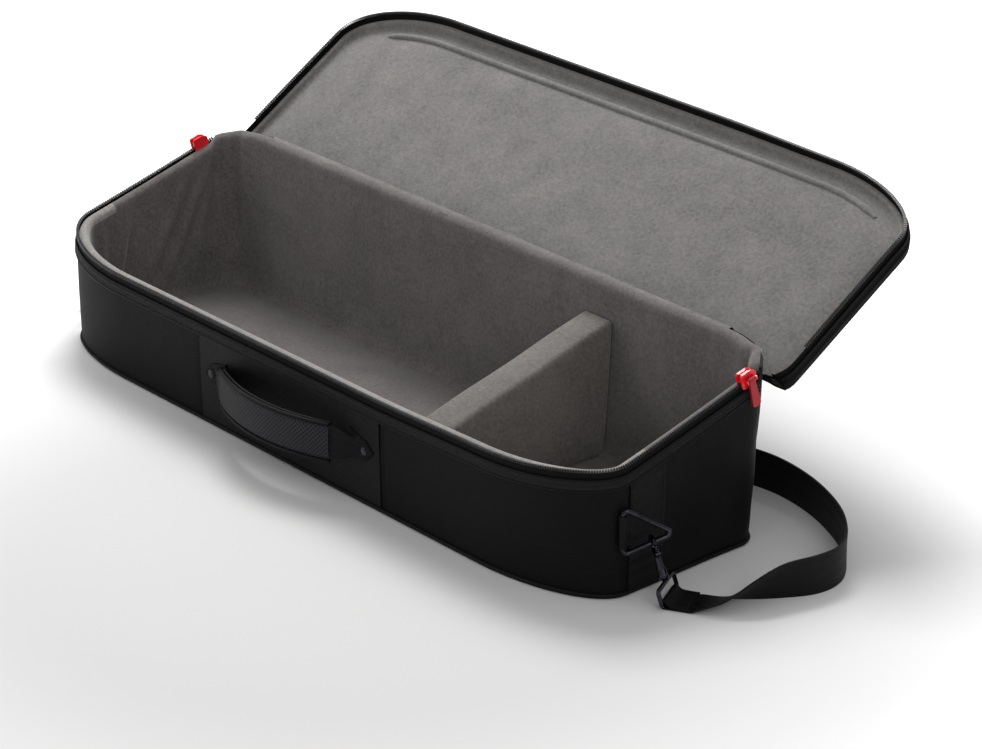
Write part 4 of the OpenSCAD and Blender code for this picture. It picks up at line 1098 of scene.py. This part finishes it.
# x, y, roll in degrees (0 on edge, 90 flat) and lift off the floor
strapWay = [
    (rightEnd[0], rightEnd[1], 90, 0), (489, -16, 72, 0), (503, 8, 40, 0), (514, 38, 12, 0), (524, 68, 0, 0),
    (523, 96, 0, 0), (507, 122, 0, 0), (474, 150, 0, 0), (436, 170, 0, 0), (394, 184, 0, 0), (348, 190, 0, 0),
    (304, 184, 0, 0), (262, 171, 0, 1), (226, 161, 0, 3), (194, 158, 0, 3.5), (160, 158, 0, 3.5),
    (-180, 158, 0, 3.5), (-214, 158, 0, 3.5), (-262, 158, 0, 2), (-330, 158, 0, 0), (-388, 152, 0, 0),
    (-430, 138, 0, 0), (-458, 112, 0, 0), (-468, 80, 12, 0), (-468, 48, 40, 0), (-464, 18, 72, 0),
    (leftEnd[0], leftEnd[1], 90, 0)]


def smoothWay(way, steps):
    way = np.array(way, float)
    padded = np.vstack([way[:1], way, way[-1:]])
    out = []
    for i in range(1, len(padded) - 2):
        a, b, c, d = padded[i - 1], padded[i], padded[i + 1], padded[i + 2]
        for k in range(steps):
            t = k / steps
            out.append((2 * b + (c - a) * t + (2 * a - 5 * b + 4 * c - d) * t * t
                        + (3 * b - a - 3 * c + d) * t ** 3) / 2)
    out.append(way[-1])
    return np.array(out)


def makeStrap():
    way = smoothWay(strapWay, 8)
    along = np.gradient(way[:, :2], axis=0)
    along[0] = (math.cos(headings["right"]), math.sin(headings["right"]))
    along[-1] = (-math.cos(headings["left"]), -math.sin(headings["left"]))
    along /= np.linalg.norm(along, axis=1)[:, None]
    side = np.column_stack([along[:, 1], -along[:, 0], 0 * along[:, 0]])
    roll = np.radians(way[:, 2])[:, None]
    wide = np.cos(roll) * np.array([[0, 0, 1.0]]) + np.sin(roll) * side
    flat = np.cross(np.column_stack([along, 0 * along[:, 0]]), wide)
    z = floorClear + way[:, 3] + strapWidth / 2 * np.cos(roll[:, 0]) + strapThick / 2 * np.sin(roll[:, 0])
    centre = np.column_stack([way[:, :2], z])
    wave = 0.7 * np.sin(arcLengths(centre) / 41.0)[:, None] * np.cos(roll)
    rows = []
    profile = [(-0.5, -0.5), (-0.47, -0.62), (-0.2, -0.5), (0.2, -0.5), (0.47, -0.62), (0.5, -0.5),
               (0.5, 0.5), (0.47, 0.62), (0.2, 0.5), (-0.2, 0.5), (-0.47, 0.62), (-0.5, 0.5)]
    for w, f in profile:
        rows.append(centre + wide * strapWidth * w + flat * (strapThick * f + wave * (0.25 - w * w)))
    surface("shoulderStrap", rows, arcLengths(centre), strapWebbing, "webbing", "case",
            hides=["shoulder_strap"],
            sharp=60.0)


# The strap's end, turned up round the eye's lower bar and sewn down on itself
def makeStrapEnd(label):
    x, y = eyeSpot(label)
    heading = headings[label]
    path = [(sewnLength, 1.2), (12, 1.2), (0, 1.2)]
    path += [(sewnRadius * math.cos(math.radians(a)), eyeLevel + sewnRadius * math.sin(math.radians(a)))
             for a in np.linspace(262, 24, 14)]
    path += [(5.5, 3.7), (9, 3.05), (15, 3.0), (sewnLength - 1.5, 3.0)]
    path = np.array(path)
    points = np.column_stack([x + path[:, 0] * math.cos(heading), y + path[:, 0] * math.sin(heading),
                              path[:, 1]])
    flatAlong = np.gradient(path, axis=0)
    flatAlong /= np.linalg.norm(flatAlong, axis=1)[:, None]
    out = np.column_stack([-flatAlong[:, 1] * math.cos(heading), -flatAlong[:, 1] * math.sin(heading),
                           flatAlong[:, 0]]) * (strapThick - 0.1)
    wide = np.tile([-math.sin(heading) * strapWidth, math.cos(heading) * strapWidth, 0], (len(points), 1))
    surface("strapEnd_" + label, bandRows(points, wide, out), arcLengths(points), strapWebbing, "webbing",
            "case",
            hides=["strap_end_" + label])
    corners = [(9.5, -15), (9.5, 15), (21, 15), (21, -15), (9.5, -15), (21, 15), (21, -15), (9.5, 15)]
    line = []
    for (a, b), (c, d) in zip(corners, corners[1:]):
        for t in np.linspace(0, 1, 6)[:-1]:
            u, v = a + (c - a) * t, b + (d - b) * t
            line.append((x + u * math.cos(heading) - v * math.sin(heading),
                         y + u * math.sin(heading) + v * math.cos(heading), 4.0))
    repeatAlong("endStitches_" + label, "stitch", [line], 3.0, (2.2, 0.7, 0.5), threadBlack,
                "case")


makeStrap()
makeStrapEnd("right")
makeStrapEnd("left")
hardware = {"zip_slider_": enamelRed, "zip_pull_": rubberRed, "triangle_ring_": darkPlate,
            "snap_hook_": darkPlate, "hook_barrel_": darkPlate, "hook_gate_": darkPlate,
            "swivel_eye_": darkPlate}
dress("strap_adjuster", adjusterNylon)
for name, finish in hardware.items():
    dress(name + "right", finish)
    dress(name + "left", finish)
print("strap and hardware made")


# Stitches along the rim, the seams and the fold

seamStitches = []
for x in (-shell["seamX"] - 3.5, shell["seamX"] + 3.5):
    arc = arcOf(x, -halfDepth)
    spot = makeRun(arc, arc + 1.0, 1.0)
    seamStitches.append([baseRow(spot, -0.5, levels["bandLow"] - 2, t, low=7.0)[0]
                         for t in np.linspace(0, 1, 12)])
repeatAlong("seamStitches", "stitch", seamStitches, 3.6, (2.7, 0.7, 0.7), threadBlack, "case")
repeatAlong("rimStitches", "stitch", [baseRow(zipRun, -1.5, levels["bandLow"] + bandHeight * t)
                                      for t in (0.26, 0.74)],
            3.2, (2.3, 0.8, 0.8), threadBlack, "case")
foldStitchLine = baseRow(foldRun, insideInset + 0.4, levels["chainTop"] - 5.0)
repeatAlong("foldStitches", "stitch", [foldStitchLine], 3.4, (2.4, 0.6, 0.6), threadGrey,
            "case")
print("stitches made")


# Stage, lights and camera

view = {"target": (458.3, -255.6, 278.9), "azimuth": 50.0, "elevation": 22.84, "distance": 2953.5,
        "lens": 131.68}


def makeStage():
    mesh = bpy.data.meshes.new("floor")
    reach = 8.0
    mesh.from_pydata([(-reach, -reach, 0), (reach, -reach, 0), (reach, reach, 0), (-reach, reach, 0)], [],
                     [(0, 1, 2, 3)])
    floor = bpy.data.objects.new("floor", mesh)
    bpy.context.scene.collection.objects.link(floor)
    made, tree, shader = newMaterial("paperSweepPaintedShadow", 0.9, specular=0.1)
    path = addNode(tree, "ShaderNodeLightPath")
    place = addNode(tree, "ShaderNodeTexCoord")
    centred = addNode(tree, "ShaderNodeMapping", {"Vector": place.outputs["Object"],
                                                  "Location": (-0.2, 0.2, 0.0)})
    reachOut = addNode(tree, "ShaderNodeVectorMath", {0: centred.outputs[0]}, operation="LENGTH")
    # The paper glows for the camera only away from the case; near it the glow fades out, leaving a painted
    # shade round the case
    glowPastShadow = addNode(tree, "ShaderNodeMapRange", {"Value": reachOut.outputs["Value"],
                                                "From Min": stage["glowFrom"],
                                                "From Max": stage["glowTo"], "To Min": stage["glowNear"],
                                                "To Max": stage["glowFar"]}, interpolation_type="SMOOTHSTEP")
    glow = addNode(tree, "ShaderNodeMath", {0: path.outputs["Is Camera Ray"], 1: glowPastShadow.outputs["Result"]},
                   operation="MULTIPLY")
    # Painted shadow: the paper's colour is darker near the case and lightens outward
    near = addNode(tree, "ShaderNodeMapRange", {"Value": reachOut.outputs["Value"], "From Min": 0.28,
                                                "From Max": 0.6},
                   interpolation_type="SMOOTHSTEP")
    tree.links.new(blendColours(tree, near.outputs["Result"], stage["paintedShadowPaper"], "#f6f6f6"),
                   shader.inputs["Base Color"])
    shader.inputs["Emission Color"].default_value = (1, 1, 1, 1)
    tree.links.new(glow.outputs[0], shader.inputs["Emission Strength"])
    mesh.materials.append(made)
    world = bpy.data.worlds.new("studio")
    bpy.context.scene.world = world
    world.use_nodes = True
    sky = world.node_tree
    path = addNode(sky, "ShaderNodeLightPath")
    seen = addNode(sky, "ShaderNodeMath", {0: path.outputs["Is Camera Ray"],
                                           1: path.outputs["Is Transmission Ray"]},
                   operation="MAXIMUM")
    strength = addNode(sky, "ShaderNodeMapRange", {"Value": seen.outputs[0], "To Min": stage["ambient"],
                                                   "To Max": 1.0})
    sky.nodes["Background"].inputs["Color"].default_value = (1, 1, 1, 1)
    sky.links.new(strength.outputs["Result"], sky.nodes["Background"].inputs["Strength"])


def areaLight(name, place, aim, size, power):
    data = bpy.data.lights.new(name, "AREA")
    data.size = size
    data.energy = power
    lamp = bpy.data.objects.new(name, data)
    lamp.location = place
    lamp.rotation_euler = (Vector(aim) - Vector(place)).to_track_quat("-Z", "Y").to_euler()
    bpy.context.scene.collection.objects.link(lamp)


# The paper colour near the case is a painted shadow, and the glow settings fade it out towards the case
stage = {"ambient": 0.5, "paintedShadowPaper": "#dcdbdb", "glowNear": 0.0, "glowFar": 0.5, "glowFrom": 0.48,
         "glowTo": 0.9}
makeStage()
areaLight("topSoft", (-0.9, 0.8, 2.0), (0.05, 0.05, 0.1), 1.0, 44.0)
areaLight("leftSoft", (-1.6, -1.4, 1.6), (0.0, 0.0, 0.1), 1.2, 7.0)
areaLight("rightSoft", (2.0, -0.6, 1.2), (0.4, 0.0, 0.1), 0.8, 6.0)


def makeCamera():
    turn, tilt = math.radians(view["azimuth"]), math.radians(view["elevation"])
    back = Vector((math.sin(turn) * math.cos(tilt), -math.cos(turn) * math.cos(tilt), math.sin(tilt)))
    data = bpy.data.cameras.new("camera")
    data.lens = view["lens"]
    data.sensor_width = 36.0
    data.clip_end = 50.0
    camera = bpy.data.objects.new("camera", data)
    camera.location = (Vector(view["target"]) + back * view["distance"]) * mm
    camera.rotation_euler = back.to_track_quat("Z", "Y").to_euler()
    bpy.context.scene.collection.objects.link(camera)
    bpy.context.scene.camera = camera


makeCamera()
bpy.context.scene.view_settings.view_transform = "Standard"
